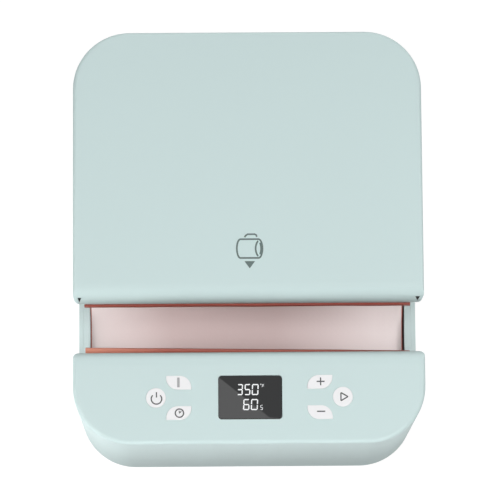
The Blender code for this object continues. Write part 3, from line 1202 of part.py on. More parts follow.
def drive_pinion():
    """A spur pinion on its shaft, with a tooth straight up at rest."""
    base = PITCH_RADIUS * math.cos(PRESSURE_ANGLE)
    tip, root = PITCH_RADIUS + GEAR_MODULE, PITCH_RADIUS - GEAR_MODULE * DEDENDUM_SHARE
    half_tooth = math.pi / (2 * PINION_TEETH) - TOOTH_BACKLASH / 2 / PITCH_RADIUS
    pitch_involute = involute_angle(base, PITCH_RADIUS)
    flank = [(root, half_tooth + pitch_involute)]
    for step in range(FLANK_STEPS + 1):
        radius = base + (tip - base) * step / FLANK_STEPS
        flank.append((radius, half_tooth + pitch_involute - involute_angle(base, radius)))
    outline = []
    for tooth in range(PINION_TEETH):
        middle = math.pi / 2 + math.tau * tooth / PINION_TEETH
        corners = [(radius, middle - offset) for radius, offset in flank]
        corners += [(radius, middle + offset) for radius, offset in reversed(flank)]
        for radius, angle in corners:
            outline.append((PINION_Y + radius * math.cos(angle), PINION_HEIGHT + radius * math.sin(angle)))
    half = PINION_WIDTH / 2
    empty = axis_empty("pinion_axis", (0, PINION_Y, PINION_HEIGHT))
    pinion = part("drive_pinion", prism([outline], -half, half, "X"), "brass", empty)
    shaft = cylinder((PINION_SHAFT_LEFT, PINION_Y, PINION_HEIGHT),
                     (GEARBOX_LEFT - SHAFT_GAP, PINION_Y, PINION_HEIGHT), PINION_SHAFT_RADIUS)
    join(pinion, tool("pinion_shaft", shaft))


def jaw_ribs(parent):
    """Two upright ribs on the carriage that pass through the deck and hold the rear jaw and cover."""
    centre = (MUG_AXIS_Y, MUG_AXIS_HEIGHT)
    steps = round((RIB_UPPER_ANGLE - RIB_LOWER_ANGLE) / JAW_STEP_ANGLE)
    seat = arc(centre, JAW_SEAT_RADIUS, RIB_UPPER_ANGLE + math.pi / 2, RIB_LOWER_ANGLE + math.pi / 2, steps)
    foot = CARRIAGE_TOP + FIT_GAP
    outline = seat + [(RIB_FRONT, seat[-1][1]), (RIB_FRONT, foot), (RIB_REAR, foot), (RIB_REAR, RIB_TOP),
                      (seat[0][0], RIB_TOP)]
    half = RIB_THICKNESS / 2
    flange_bottom = RIB_TOP - RIB_FOOT_THICKNESS
    places = []
    for name, side in (("jaw_rib_left", -1), ("jaw_rib_right", 1)):
        x = side * RIB_X
        rib = part(name, prism([outline], x - half, x + half, "X"), "steel", parent)
        low, high = sorted((side * (RIB_X - RIB_FOOT_INWARD), side * (RIB_X + RIB_FOOT_OUTWARD)))
        base = box((low, RIB_FRONT, foot), (high, RIB_REAR, foot + RIB_FOOT_THICKNESS))
        low, high = sorted((side * RIB_X, side * (RIB_X + RIB_FLANGE_OUTWARD)))
        top = box((low, RIB_FRONT, flange_bottom), (high, RIB_REAR, RIB_TOP))
        join(rib, tool(name + "_foot", base), tool(name + "_flange", top))
        x = side * COVER_BOSS_X
        hole = cylinder((x, COVER_BOSS_Y, flange_bottom - CUT_OVERRUN),
                        (x, COVER_BOSS_Y, RIB_TOP + CUT_OVERRUN), HOLE_RADIUS)
        cut(rib, tool(name + "_hole", hole))
        places.append((x, COVER_BOSS_Y, flange_bottom - FIT_GAP))
    screw_pair("cover_screw", places, (0, 0, 1), RIB_FOOT_THICKNESS + COVER_SCREW_REACH, parent)


def rear_cover(windows, parent):
    cover = cover_shell("rear_cover", REAR_LIP_Y, -1, REAR_LIP_ROLL, windows, parent)
    bosses = bmesh.new()
    holes = bmesh.new()
    for x in (-COVER_BOSS_X, COVER_BOSS_X):
        cylinder((x, COVER_BOSS_Y, RIB_TOP + FIT_GAP), (x, COVER_BOSS_Y, PANEL_UNDERSIDE + JOIN_DEPTH),
                 POST_RADIUS, bm=bosses)
        tip = RIB_TOP + COVER_SCREW_REACH + SCREW_TIP_ROOM / 2
        cylinder((x, COVER_BOSS_Y, RIB_TOP - CUT_OVERRUN), (x, COVER_BOSS_Y, tip), HOLE_RADIUS, bm=holes)
    join(cover, tool("cover_bosses", bosses), solver="MANIFOLD")
    cut(cover, tool("cover_boss_holes", holes), solver="MANIFOLD")


def main():
    clear_scene()
    base_tray()
    rubber_feet()
    end_plates()
    jaw_cradles()
    front_jaw()
    deck_plate()
    guide_rods()
    gear_motor()
    motor_bracket()
    limit_switches()
    power_inlet()
    power_electronics()
    thermostat()
    leads()
    windows = side_window_cutter()
    front_housing(windows)
    control_board()
    display()
    buttons()
    slide = axis_empty("jaw_slide_axis", (0, MUG_AXIS_Y, MUG_AXIS_HEIGHT))
    rear_jaw(slide)
    rear_cover(windows, slide)
    carriage(slide)
    drive_rack(slide)
    jaw_ribs(slide)
    drive_pinion()


main()
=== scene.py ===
"""Looks of the mug heat press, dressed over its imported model.

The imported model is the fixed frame: metres, +Z up, the front towards -Y.  Each class below builds one
sub-assembly of the press at a finer grain than the solids, gives it its finish and lets it ride on the
body that moves it.
"""

import logging
import math
from dataclasses import dataclass, field
from enum import Enum
from typing import Iterable, Optional, Sequence

import bmesh
import bpy
from bmesh.types import BMEdge, BMesh
from mathutils import Matrix, Vector


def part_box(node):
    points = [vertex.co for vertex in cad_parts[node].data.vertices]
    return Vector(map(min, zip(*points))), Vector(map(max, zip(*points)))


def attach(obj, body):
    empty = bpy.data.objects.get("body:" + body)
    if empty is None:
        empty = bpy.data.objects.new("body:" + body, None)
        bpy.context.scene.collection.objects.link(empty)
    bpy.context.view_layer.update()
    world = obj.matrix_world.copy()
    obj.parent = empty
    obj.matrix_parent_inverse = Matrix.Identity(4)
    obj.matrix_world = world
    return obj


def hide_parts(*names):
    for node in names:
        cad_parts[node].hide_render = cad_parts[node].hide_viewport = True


LOG = logging.getLogger("mug_heat_press")

Colour = tuple[float, float, float]
Point = tuple[float, float, float]
FlatPoint = tuple[float, float]

WELD = 0.000001
OVERRUN = 0.004
SMOOTH_ANGLE = math.radians(34)


class Operation(Enum):
    """How one closed mesh changes another."""

    CUT = "DIFFERENCE"
    JOIN = "UNION"
    KEEP_COMMON = "INTERSECT"


class Lean(Enum):
    """Which corners of a leaf-shaped button are wide, seen from above."""

    FALLING = "falling"
    RISING = "rising"


class Glyph(Enum):
    """The sign printed on a button."""

    POWER = "power"
    TEMPERATURE = "temperature"
    TIMER = "timer"
    PLUS = "plus"
    MINUS = "minus"
    START = "start"


@dataclass(frozen=True)
class PressSizes:
    """Sizes in metres that several sub-assemblies share."""

    half_width: float = 0.098
    half_depth: float = 0.1165
    top: float = 0.146
    corner: float = 0.032
    wall: float = 0.0026
    rim: float = 0.052
    parting_gap: float = 0.0006
    foot: float = 0.003
    floor: float = 0.003
    axis_y: float = -0.0503
    axis_z: float = 0.089
    slot_width: float = 0.0284
    side_window: float = 0.0452

    @property
    def cover_bottom(self) -> float:
        """Height of the covers' lower edge."""
        return self.rim + self.parting_gap

    @property
    def inner_half_width(self) -> float:
        """Half the width inside the walls."""
        return self.half_width - self.wall

    @property
    def inner_half_depth(self) -> float:
        """Half the depth inside the walls."""
        return self.half_depth - self.wall


# Mesh helpers
def block(low: Sequence[float], high: Sequence[float], bm: Optional[BMesh] = None) -> BMesh:
    """Adds a box to a mesh.

    Args:
        low: The lowest corner.
        high: The highest corner.
        bm: The mesh to add to, or None for a new one.

    Returns:
        The mesh.
    """
    bm = bm or bmesh.new()
    near, away = Vector(low), Vector(high)
    place = Matrix.Translation((near + away) / 2) @ Matrix.Diagonal((*(away - near), 1))
    bmesh.ops.create_cube(bm, size=1, matrix=place)
    return bm


def turn_to(direction: Sequence[float]) -> Matrix:
    """Gives the turn that takes +Z to a direction."""
    return Vector((0, 0, 1)).rotation_difference(Vector(direction)).to_matrix().to_4x4()


def drum(start: Point, end: Point, radius: float, segments: int = 48, end_radius: Optional[float] = None,
         bm: Optional[BMesh] = None) -> BMesh:
    """Adds a closed cylinder or cone between two points.

    Args:
        start: The middle of the first end.
        end: The middle of the other end.
        radius: The radius at the first end.
        segments: The number of sides.
        end_radius: The radius at the other end, or None for the same.
        bm: The mesh to add to, or None for a new one.

    Returns:
        The mesh.
    """
    bm = bm or bmesh.new()
    near, away = Vector(start), Vector(end)
    place = Matrix.Translation((near + away) / 2) @ turn_to(away - near)
    bmesh.ops.create_cone(bm, cap_ends=True, segments=segments, radius1=radius,
                          radius2=radius if end_radius is None else end_radius,
                          depth=(away - near).length, matrix=place)
    return bm


def lathe(profile: Sequence[FlatPoint], place: Point, direction: Point = (0, 0, 1), segments: int = 48,
          bm: Optional[BMesh] = None) -> BMesh:
    """Turns a profile a full circle about an axis.

    Args:
        profile: Points of radius and height, which start and end on the axis.
        place: A point on the axis, from which the heights count.
        direction: The way the axis points.
        segments: The number of steps round the circle.
        bm: The mesh to add to, or None for a new one.

    Returns:
        The mesh.
    """
    bm = bm or bmesh.new()
    frame = Matrix.Translation(place) @ turn_to(direction)
    corners = [bm.verts.new(frame @ Vector((radius, 0, height))) for radius, height in profile]
    edges = [bm.edges.new(pair) for pair in zip(corners, corners[1:])]
    axis = frame.to_3x3() @ Vector((0, 0, 1))
    bmesh.ops.spin(bm, geom=corners + edges, cent=place, axis=axis, angle=math.tau, steps=segments,
                   use_merge=True)
    bmesh.ops.remove_doubles(bm, verts=bm.verts, dist=WELD)
    bmesh.ops.recalc_face_normals(bm, faces=bm.faces)
    return bm


def bevel(bm: BMesh, edges: Iterable[BMEdge], width: float, segments: int) -> None:
    """Rounds edges.

    Args:
        bm: The mesh that holds the edges.
        edges: The edges to round.
        width: The radius of the rounding.
        segments: The number of strips in it.
    """
    bmesh.ops.bevel(bm, geom=list(edges), offset=width, segments=segments, profile=0.5, affect="EDGES",
                    material=-1)


def near_value(value: float, target: float) -> bool:
    """Says whether two lengths are the same."""
    return abs(value - target) < WELD * 2


def uprights(bm: BMesh, x: Optional[float] = None, y: Optional[float] = None) -> list[BMEdge]:
    """Finds the edges that stand upright at a distance from the middle and at a depth.

    Args:
        bm: The mesh to search.
        x: The distance from the middle plane to either side, or None for any.
        y: The depth, or None for any.

    Returns:
        The edges found.
    """
    found = []
    for edge in bm.edges:
        first, last = (vert.co for vert in edge.verts)
        if not (near_value(first.x, last.x) and near_value(first.y, last.y)):
            continue
        if x is not None and not near_value(abs(first.x), x):
            continue
        if y is not None and not near_value(first.y, y):
            continue
        found.append(edge)
    return found


def rim_edges(bm: BMesh, height: float) -> list[BMEdge]:
    """Finds the edges that lie at one height."""
    return [edge for edge in bm.edges if all(near_value(vert.co.z, height) for vert in edge.verts)]


def sharp_edges(bm: BMesh, angle: float = math.radians(50)) -> list[BMEdge]:
    """Finds the edges whose faces meet at more than an angle."""
    return [edge for edge in bm.edges if len(edge.link_faces) == 2 and edge.calc_face_angle() > angle]


def rounded_block(low: Sequence[float], high: Sequence[float], width: float, segments: int = 2,
                  bm: Optional[BMesh] = None) -> BMesh:
    """Adds a box whose edges are all rounded.

    Args:
        low: The lowest corner.
        high: The highest corner.
        width: The radius of the rounding.
        segments: The strips in the rounding.
        bm: The mesh to add to, or None for a new one.

    Returns:
        The mesh.
    """
    piece = block(low, high)
    bevel(piece, piece.edges, width, segments)
    return merged(bm, piece) if bm else piece


def merged(bm: BMesh, extra: BMesh) -> BMesh:
    """Adds a mesh to another and frees the added one.

    Args:
        bm: The mesh that grows.
        extra: The mesh that is added and freed.

    Returns:
        The grown mesh.
    """
    mesh = bpy.data.meshes.new("extra")
    extra.to_mesh(mesh)
    extra.free()
    bm.from_mesh(mesh)
    bpy.data.meshes.remove(mesh)
    return bm


def boolean(body: BMesh, operation: Operation, tool: BMesh) -> BMesh:
    """Changes one closed mesh by another and frees both.

    Args:
        body: The mesh that is changed.
        operation: What is done with the tool.
        tool: The other closed mesh.

    Returns:
        A new mesh with the result.
    """
    objects = []
    for name, bm in (("boolean_body", body), ("boolean_tool", tool)):
        bmesh.ops.recalc_face_normals(bm, faces=bm.faces)
        mesh = bpy.data.meshes.new(name)
        bm.to_mesh(mesh)
        bm.free()
        obj = bpy.data.objects.new(name, mesh)
        bpy.context.scene.collection.objects.link(obj)
        objects.append(obj)
    modifier = objects[0].modifiers.new("change", "BOOLEAN")
    modifier.operation = operation.value
    modifier.solver = "MANIFOLD"
    modifier.object = objects[1]
    graph = bpy.context.evaluated_depsgraph_get()
    outcome = bpy.data.meshes.new_from_object(objects[0].evaluated_get(graph))
    result = bmesh.new()
    result.from_mesh(outcome)
    bpy.data.meshes.remove(outcome)
    for obj in objects:
        mesh = obj.data
        bpy.data.objects.remove(obj, do_unlink=True)
        bpy.data.meshes.remove(mesh)
    bmesh.ops.remove_doubles(result, verts=result.verts, dist=WELD)
    bmesh.ops.dissolve_degenerate(result, edges=result.edges, dist=WELD)
    return result


def strokes(paths: Sequence[tuple[Sequence[FlatPoint], bool]], width: float, bottom: float,
            top: float) -> BMesh:
    """Makes printed lines that lie flat on a level face.

    Args:
        paths: Each line's points, and whether it closes on itself.
        width: The width of the lines.
        bottom: The height of their lowest side.
        top: The height of their highest side.

    Returns:
        The mesh.
    """
    curve = bpy.data.curves.new("strokes", "CURVE")
    curve.dimensions = "3D"
    curve.bevel_depth = width / 2
    curve.bevel_resolution = 2
    curve.use_fill_caps = True
    for points, closed in paths:
        spline = curve.splines.new("POLY")
        spline.points.add(len(points) - 1)
        for knot, (x, y) in zip(spline.points, points):
            knot.co = (x, y, 0, 1)
        spline.use_cyclic_u = closed
    obj = bpy.data.objects.new("strokes", curve)
    bpy.context.scene.collection.objects.link(obj)
    graph = bpy.context.evaluated_depsgraph_get()
    mesh = bpy.data.meshes.new_from_object(obj.evaluated_get(graph))
    bm = bmesh.new()
    bm.from_mesh(mesh)
    bpy.data.objects.remove(obj, do_unlink=True)
    bpy.data.curves.remove(curve)
    bpy.data.meshes.remove(mesh)
    bmesh.ops.remove_doubles(bm, verts=bm.verts, dist=WELD)
    flatten = (Matrix.Translation((0, 0, (bottom + top) / 2))
               @ Matrix.Diagonal((1, 1, (top - bottom) / width, 1)))
    bmesh.ops.transform(bm, matrix=flatten, verts=bm.verts)
    bmesh.ops.recalc_face_normals(bm, faces=bm.faces)
    return bm


def plate_from(corners: Sequence[FlatPoint], low: float, high: float) -> BMesh:
    """Makes a level plate from its outline.

    Args:
        corners: The outline's corners, in order.
        low: The lowest height.
        high: The highest height.

    Returns:
        The mesh.
    """
    bm = bmesh.new()
    outline = bm.faces.new([bm.verts.new((x, y, low)) for x, y in corners])
    grown = bmesh.ops.extrude_face_region(bm, geom=[outline])
    lifted = [item for item in grown["geom"] if isinstance(item, bmesh.types.BMVert)]
    bmesh.ops.translate(bm, vec=(0, 0, high - low), verts=lifted)
    bmesh.ops.recalc_face_normals(bm, faces=bm.faces)
    return bm


def arc_points(centre: FlatPoint, radius: float, start: float, end: float, steps: int) -> list[FlatPoint]:
    """Gives points along a flat arc, with its angles in degrees from +X towards +Y."""
    angles = [math.radians(start + (end - start) * step / steps) for step in range(steps + 1)]
    return [(centre[0] + radius * math.cos(angle), centre[1] + radius * math.sin(angle)) for angle in angles]


# Finishes
class NodeKit:
    """A short way to write a material's nodes."""

    def __init__(self, name: str) -> None:
        """Starts a material with only its shader and its output.

        Args:
            name: The material's name.
        """
        self.material = bpy.data.materials.new(name)
        self.material.use_nodes = True
        self.tree = self.material.node_tree
        self.shader = self.tree.nodes["Principled BSDF"]

    def node(self, kind: str, **inputs: object) -> bpy.types.Node:
        """Adds a node and sets its sockets.

        Args:
            kind: The node's type name.
            **inputs: Socket names, with spaces as underscores, and a value or a socket to link.

        Returns:
            The node.
        """
        node = self.tree.nodes.new(kind)
        self.fill(node, **inputs)
        return node

    def fill(self, node: bpy.types.Node, **inputs: object) -> None:
        """Sets or links a node's sockets by name.

        Args:
            node: The node.
            **inputs: Socket names, with spaces as underscores, and a value or a socket to link.
        """
        for name, value in inputs.items():
            socket = node.inputs[name.replace("_", " ")]
            if isinstance(value, bpy.types.NodeSocket):
                self.tree.links.new(value, socket)
            else:
                socket.default_value = value

    def coordinates(self, output: str = "Object") -> bpy.types.NodeSocket:
        """Gives the object's own coordinates, or its map."""
        return self.node("ShaderNodeTexCoord").outputs[output]

    def noise(self, scale: float, detail: float = 2.0,
              stretch: Optional[Point] = None) -> bpy.types.NodeSocket:
        """Gives a noise pattern from 0 to 1.

        Args:
            scale: How many features there are in a metre, about.
            detail: The octaves of finer noise.
            stretch: Factors along X, Y and Z, or None.

        Returns:
            The pattern's socket.
        """
        place = self.coordinates()
        if stretch is not None:
            place = self.node("ShaderNodeMapping", Vector=place, Scale=stretch).outputs["Vector"]
        return self.node("ShaderNodeTexNoise", Vector=place, Scale=scale, Detail=detail).outputs["Fac"]

    def ranged(self, value: bpy.types.NodeSocket, low: float, high: float) -> bpy.types.NodeSocket:
        """Takes a value from 0 to 1 into another range."""
        return self.node("ShaderNodeMapRange", Value=value, To_Min=low, To_Max=high).outputs["Result"]

    def mixed(self, factor: bpy.types.NodeSocket, first: object, last: object) -> bpy.types.NodeSocket:
        """Mixes two colours by a factor.

        Args:
            factor: How much of the last colour there is.
            first: A colour, or a colour socket.
            last: A colour, or a colour socket.

        Returns:
            The mixed colour's socket.
        """
        node = self.tree.nodes.new("ShaderNodeMix")
        node.data_type = "RGBA"
        self.tree.links.new(factor, node.inputs["Factor"])
        for socket, colour in ((node.inputs[6], first), (node.inputs[7], last)):
            if isinstance(colour, bpy.types.NodeSocket):
                self.tree.links.new(colour, socket)
            else:
                socket.default_value = (*colour, 1.0)
        return node.outputs[2]

    def combined(self, operation: str, first: bpy.types.NodeSocket, last: object) -> bpy.types.NodeSocket:
        """Works out a sum, product or other operation on two values.

        Args:
            operation: The operation's name.
            first: The first value's socket.
            last: A number, or the last value's socket.

        Returns:
            The result's socket.
        """
        node = self.tree.nodes.new("ShaderNodeMath")
        node.operation = operation
        self.tree.links.new(first, node.inputs[0])
        if isinstance(last, bpy.types.NodeSocket):
            self.tree.links.new(last, node.inputs[1])
        else:
            node.inputs[1].default_value = last
        return node.outputs[0]

    def bump(self, height: bpy.types.NodeSocket, strength: float, distance: float) -> bpy.types.NodeSocket:
        """Gives the normal of a fine relief."""
        bump = self.node("ShaderNodeBump", Height=height, Strength=strength, Distance=distance)
        return bump.outputs["Normal"]

    def shade(self, **inputs: object) -> None:
        """Sets or links the sockets of the surface shader."""
        self.fill(self.shader, **inputs)


def scaled(colour: Colour, factor: float) -> Colour:
    """Gives a lighter or darker version of a colour."""
    return (colour[0] * factor, colour[1] * factor, colour[2] * factor)


@dataclass(frozen=True)
class Finish:
    """A named finish; each kind of finish builds its own nodes."""

    name: str
    colour: Colour
    roughness: float

    def material(self) -> bpy.types.Material:
        """Gives the finish's material, and builds it the first time.

        Returns:
            The material.
        """
        found = bpy.data.materials.get("finish_" + self.name)
        if found is not None:
            return found
        kit = NodeKit("finish_" + self.name)
        self.build(kit)
        return kit.material

    def build(self, kit: NodeKit) -> None:
        """Builds the nodes of a plain finish with a faint grain.

        Args:
            kit: The material\'s nodes.
        """
        grain = kit.noise(900, 3)
        kit.shade(Base_Color=kit.mixed(kit.noise(30), self.colour, scaled(self.colour, 0.93)),
                  Roughness=kit.ranged(kit.noise(120), self.roughness - 0.04, self.roughness + 0.04),
                  Normal=kit.bump(grain, 0.08, 0.0002))


@dataclass(frozen=True)
class SatinPlastic(Finish):
    """Moulded plastic with a fine even texture from the mould."""

    grain: float = 0.05
    unevenness: float = 0.02

    def build(self, kit: NodeKit) -> None:
        """Builds a large soft change of tone, a fine grain and uneven gloss.

        Args:
            kit: The material\'s nodes.
        """
        tone = kit.mixed(kit.noise(9, 1), self.colour, scaled(self.colour, 1 - self.unevenness))
        grain = kit.combined("ADD", kit.noise(2600, 2), kit.ranged(kit.noise(900, 1), 0.0, 0.6))
        kit.shade(Base_Color=tone,
                  Roughness=kit.ranged(kit.noise(60, 2), self.roughness - 0.03, self.roughness + 0.03),
                  Specular_IOR_Level=0.25, Normal=kit.bump(grain, self.grain, 0.0001))


@dataclass(frozen=True)
class CoatedCloth(Finish):
    """Woven glass cloth with a smooth coating, as on a heater mat, with painted shade darkening its middle and
    its ends left lighter where the side light falls.
    """

    painted_shade_colour: Colour = (0.60, 0.485, 0.475)
    painted_shade_half: float = 0.030
    unshaded_from: float = 0.088
    painted_shade_middle: float = -0.013
    thread: float = 0.00055

    def build(self, kit: NodeKit) -> None:
        """Builds crossing threads on the sheet's own map, and a painted shade that darkens the middle of the
        sheet.

        Args:
            kit: The material\'s nodes.
        """
        count = 1 / self.thread
        place = kit.coordinates("UV")
        bands = []
        for direction in ("X", "Y"):
            wave = kit.node("ShaderNodeTexWave", Vector=place, Scale=count * 0.05, Distortion=0.4, Detail=1.0)
            wave.bands_direction = direction
            bands.append(wave.outputs["Fac"])
        weave = kit.combined("MAXIMUM", bands[0], bands[1])
        # Painted shade: the cloth is painted darker about a point near its middle and lighter towards its
        # ends, standing in for the light that reaches the ends.
        along = kit.node("ShaderNodeSeparateXYZ", Vector=kit.coordinates()).outputs["X"]
        away = kit.combined("ABSOLUTE", kit.combined("SUBTRACT", along, self.painted_shade_middle), 0.0)
        uneven = kit.combined("ADD", away, kit.ranged(kit.noise(25, 3), -0.006, 0.006))
        painted_light_fade = kit.node("ShaderNodeMapRange", Value=uneven, From_Min=self.painted_shade_half,
                        From_Max=self.unshaded_from).outputs["Result"]
        kit.shade(Base_Color=kit.mixed(painted_light_fade, self.painted_shade_colour, self.colour),
                  Roughness=kit.ranged(kit.noise(200, 2), self.roughness - 0.05, self.roughness + 0.05),
                  Sheen_Weight=0.1, Normal=kit.bump(weave, 0.12, 0.00015))


@dataclass(frozen=True)
class Silicone(Finish):
    """Moulded silicone rubber with a waxy look, and a painted highlight at its left end if one is given."""

    painted_highlight_colour: Optional[Colour] = None
    painted_highlight_to: float = -0.088
    painted_highlight_from: float = -0.045

    def build(self, kit: NodeKit) -> None:
        """Builds a mottled tone, a painted highlight if one is given, a little waviness and a low gloss.

        Args:
            kit: The material\'s nodes.
        """
        tone = kit.mixed(kit.noise(45, 3), scaled(self.colour, 0.85), scaled(self.colour, 1.1))
        # Painted highlight: the colour turns paler towards the left end, standing in for a glint of light
        # there.
        if self.painted_highlight_colour is not None:
            along = kit.node("ShaderNodeSeparateXYZ", Vector=kit.coordinates()).outputs["X"]
            painted_light_fade = kit.node("ShaderNodeMapRange", Value=along, From_Min=self.painted_highlight_from,
                            From_Max=self.painted_highlight_to).outputs["Result"]
            tone = kit.mixed(painted_light_fade, tone, self.painted_highlight_colour)
        kit.shade(Base_Color=tone,
                  Roughness=kit.ranged(kit.noise(150, 2), self.roughness - 0.08, self.roughness + 0.08),
                  Normal=kit.bump(kit.noise(400, 3), 0.15, 0.0003))


@dataclass(frozen=True)
class BareMetal(Finish):
    """Bare metal with fine lines from drawing or turning."""

    lines: Point = (1.0, 60.0, 60.0)

    def build(self, kit: NodeKit) -> None:
        """Builds stretched lines in the gloss and the relief.

        Args:
            kit: The material\'s nodes.
        """
        lines = kit.noise(60, 3, self.lines)
        kit.shade(Base_Color=kit.mixed(lines, self.colour, scaled(self.colour, 0.9)), Metallic=1.0,
                  Roughness=kit.ranged(lines, self.roughness - 0.06, self.roughness + 0.08),
                  Normal=kit.bump(lines, 0.05, 0.0001))


@dataclass(frozen=True)
class SmokedLens(Finish):
    """Dark glossy cover of the display."""

    def build(self, kit: NodeKit) -> None:
        """Builds a near-black surface with a clear gloss and faint dust.

        Args:
            kit: The material\'s nodes.
        """
        dust = kit.noise(5000, 1)
        kit.shade(Base_Color=kit.mixed(kit.noise(80), self.colour, scaled(self.colour, 0.9)),
                  Roughness=kit.ranged(dust, self.roughness, self.roughness + 0.004), IOR=1.5)


@dataclass(frozen=True)
class PrintInk(Finish):
    """Thin printed ink."""

    def build(self, kit: NodeKit) -> None:
        """Builds slightly uneven ink.

        Args:
            kit: The material\'s nodes.
        """
        kit.shade(Base_Color=kit.mixed(kit.noise(1500, 2), self.colour, scaled(self.colour, 0.88)),
                  Roughness=kit.ranged(kit.noise(700), self.roughness - 0.05, self.roughness + 0.05))


@dataclass(frozen=True)
class LitSegment(Finish):
    """A lit segment of the display."""

    glow: float = 0.42

    def build(self, kit: NodeKit) -> None:
        """Builds a white surface that gives its own light.

        Args:
            kit: The material\'s nodes.
        """
        kit.shade(Base_Color=kit.mixed(kit.noise(900), self.colour, scaled(self.colour, 0.97)),
                  Roughness=kit.ranged(kit.noise(300), self.roughness, self.roughness + 0.05),
                  Emission_Color=(*self.colour, 1.0), Emission_Strength=self.glow)


@dataclass(frozen=True)
class Finishes:
    """All the finishes of the press."""

    cover: Finish = SatinPlastic("mint_cover", (0.585, 0.715, 0.710), 0.50)
    tray: Finish = SatinPlastic("mint_tray", (0.585, 0.715, 0.710), 0.52)
    button: Finish = SatinPlastic("white_button", (0.85, 0.85, 0.86), 0.36, 0.02, 0.01)
    dark: Finish = SatinPlastic("black_plastic", (0.03, 0.03, 0.033), 0.45, 0.10)
    lens: Finish = SmokedLens("display_lens", (0.006, 0.007, 0.008), 0.0)
    lit: Finish = LitSegment("lit_segment", (0.66, 0.67, 0.68), 0.4)
    ink: Finish = PrintInk("grey_ink", (0.045, 0.045, 0.048), 0.55)
    pale_ink: Finish = PrintInk("pale_ink", (0.38, 0.38, 0.39), 0.55)
    guide_ink: Finish = PrintInk("guide_ink", (0.105, 0.150, 0.142), 0.55)
    mat: Finish = CoatedCloth("mat_cloth", (0.80, 0.71, 0.70), 0.50)
    strip: Finish = Silicone("copper_silicone", (0.41, 0.100, 0.068), 0.42)
    # Painted highlight: the front strip's left end is painted bright copper.
    front_strip: Finish = Silicone("painted_highlight_silicone", (0.36, 0.088, 0.058), 0.42, (0.62, 0.23, 0.15))
    # Painted shade: the rear strip is painted darker, standing in for the shade under the rear cover's lip.
    painted_shade_strip: Finish = Silicone("painted_shade_silicone", (0.29, 0.060, 0.042), 0.46)
    foam: Finish = Silicone("grey_foam", (0.20, 0.19, 0.19), 0.85)
    rubber: Finish = Silicone("black_rubber", (0.022, 0.022, 0.023), 0.80)
    steel: Finish = BareMetal("drawn_steel", (0.58, 0.58, 0.60), 0.30)
    aluminium: Finish = BareMetal("plain_aluminium", (0.74, 0.74, 0.76), 0.36)
    brass: Finish = BareMetal("sintered_brass", (0.70, 0.50, 0.22), 0.38)
    board: Finish = SatinPlastic("board_green", (0.03, 0.15, 0.07), 0.45, 0.15, 0.25)
    cable: Finish = Silicone("cable_sleeve", (0.02, 0.02, 0.022), 0.6)
    relay: Finish = SatinPlastic("relay_blue", (0.04, 0.11, 0.32), 0.42)


FINISHES = Finishes()
SIZES = PressSizes()


# Pieces
def add_piece(name: str, bm: BMesh, finish: Finish, body: str, replaces: Sequence[str] = (),
              even_normals: bool = False) -> None:
    """Makes a finished piece of the model from a closed mesh.

    Args:
        name: The piece's name.
        bm: Its mesh, which is freed.
        finish: Its finish.
        body: The moving body that carries it.
        replaces: The solids that it stands in for.
        even_normals: Whether large flat faces keep a flat look next to roundings.
    """
    bmesh.ops.recalc_face_normals(bm, faces=bm.faces)
    mesh = bpy.data.meshes.new(name)
    bm.to_mesh(mesh)
    bm.free()
    obj = bpy.data.objects.new(name, mesh)
    bpy.context.scene.collection.objects.link(obj)
    mesh.materials.append(finish.material())
    mesh.shade_smooth()
    mesh.set_sharp_from_angle(angle=SMOOTH_ANGLE)
    if even_normals:
        weight = obj.modifiers.new("even_normals", "WEIGHTED_NORMAL")
        weight.keep_sharp = True
    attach(obj, body)
    if replaces:
        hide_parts(*replaces)
    LOG.info("%s rides on %s with %d faces", name, body, len(mesh.polygons))


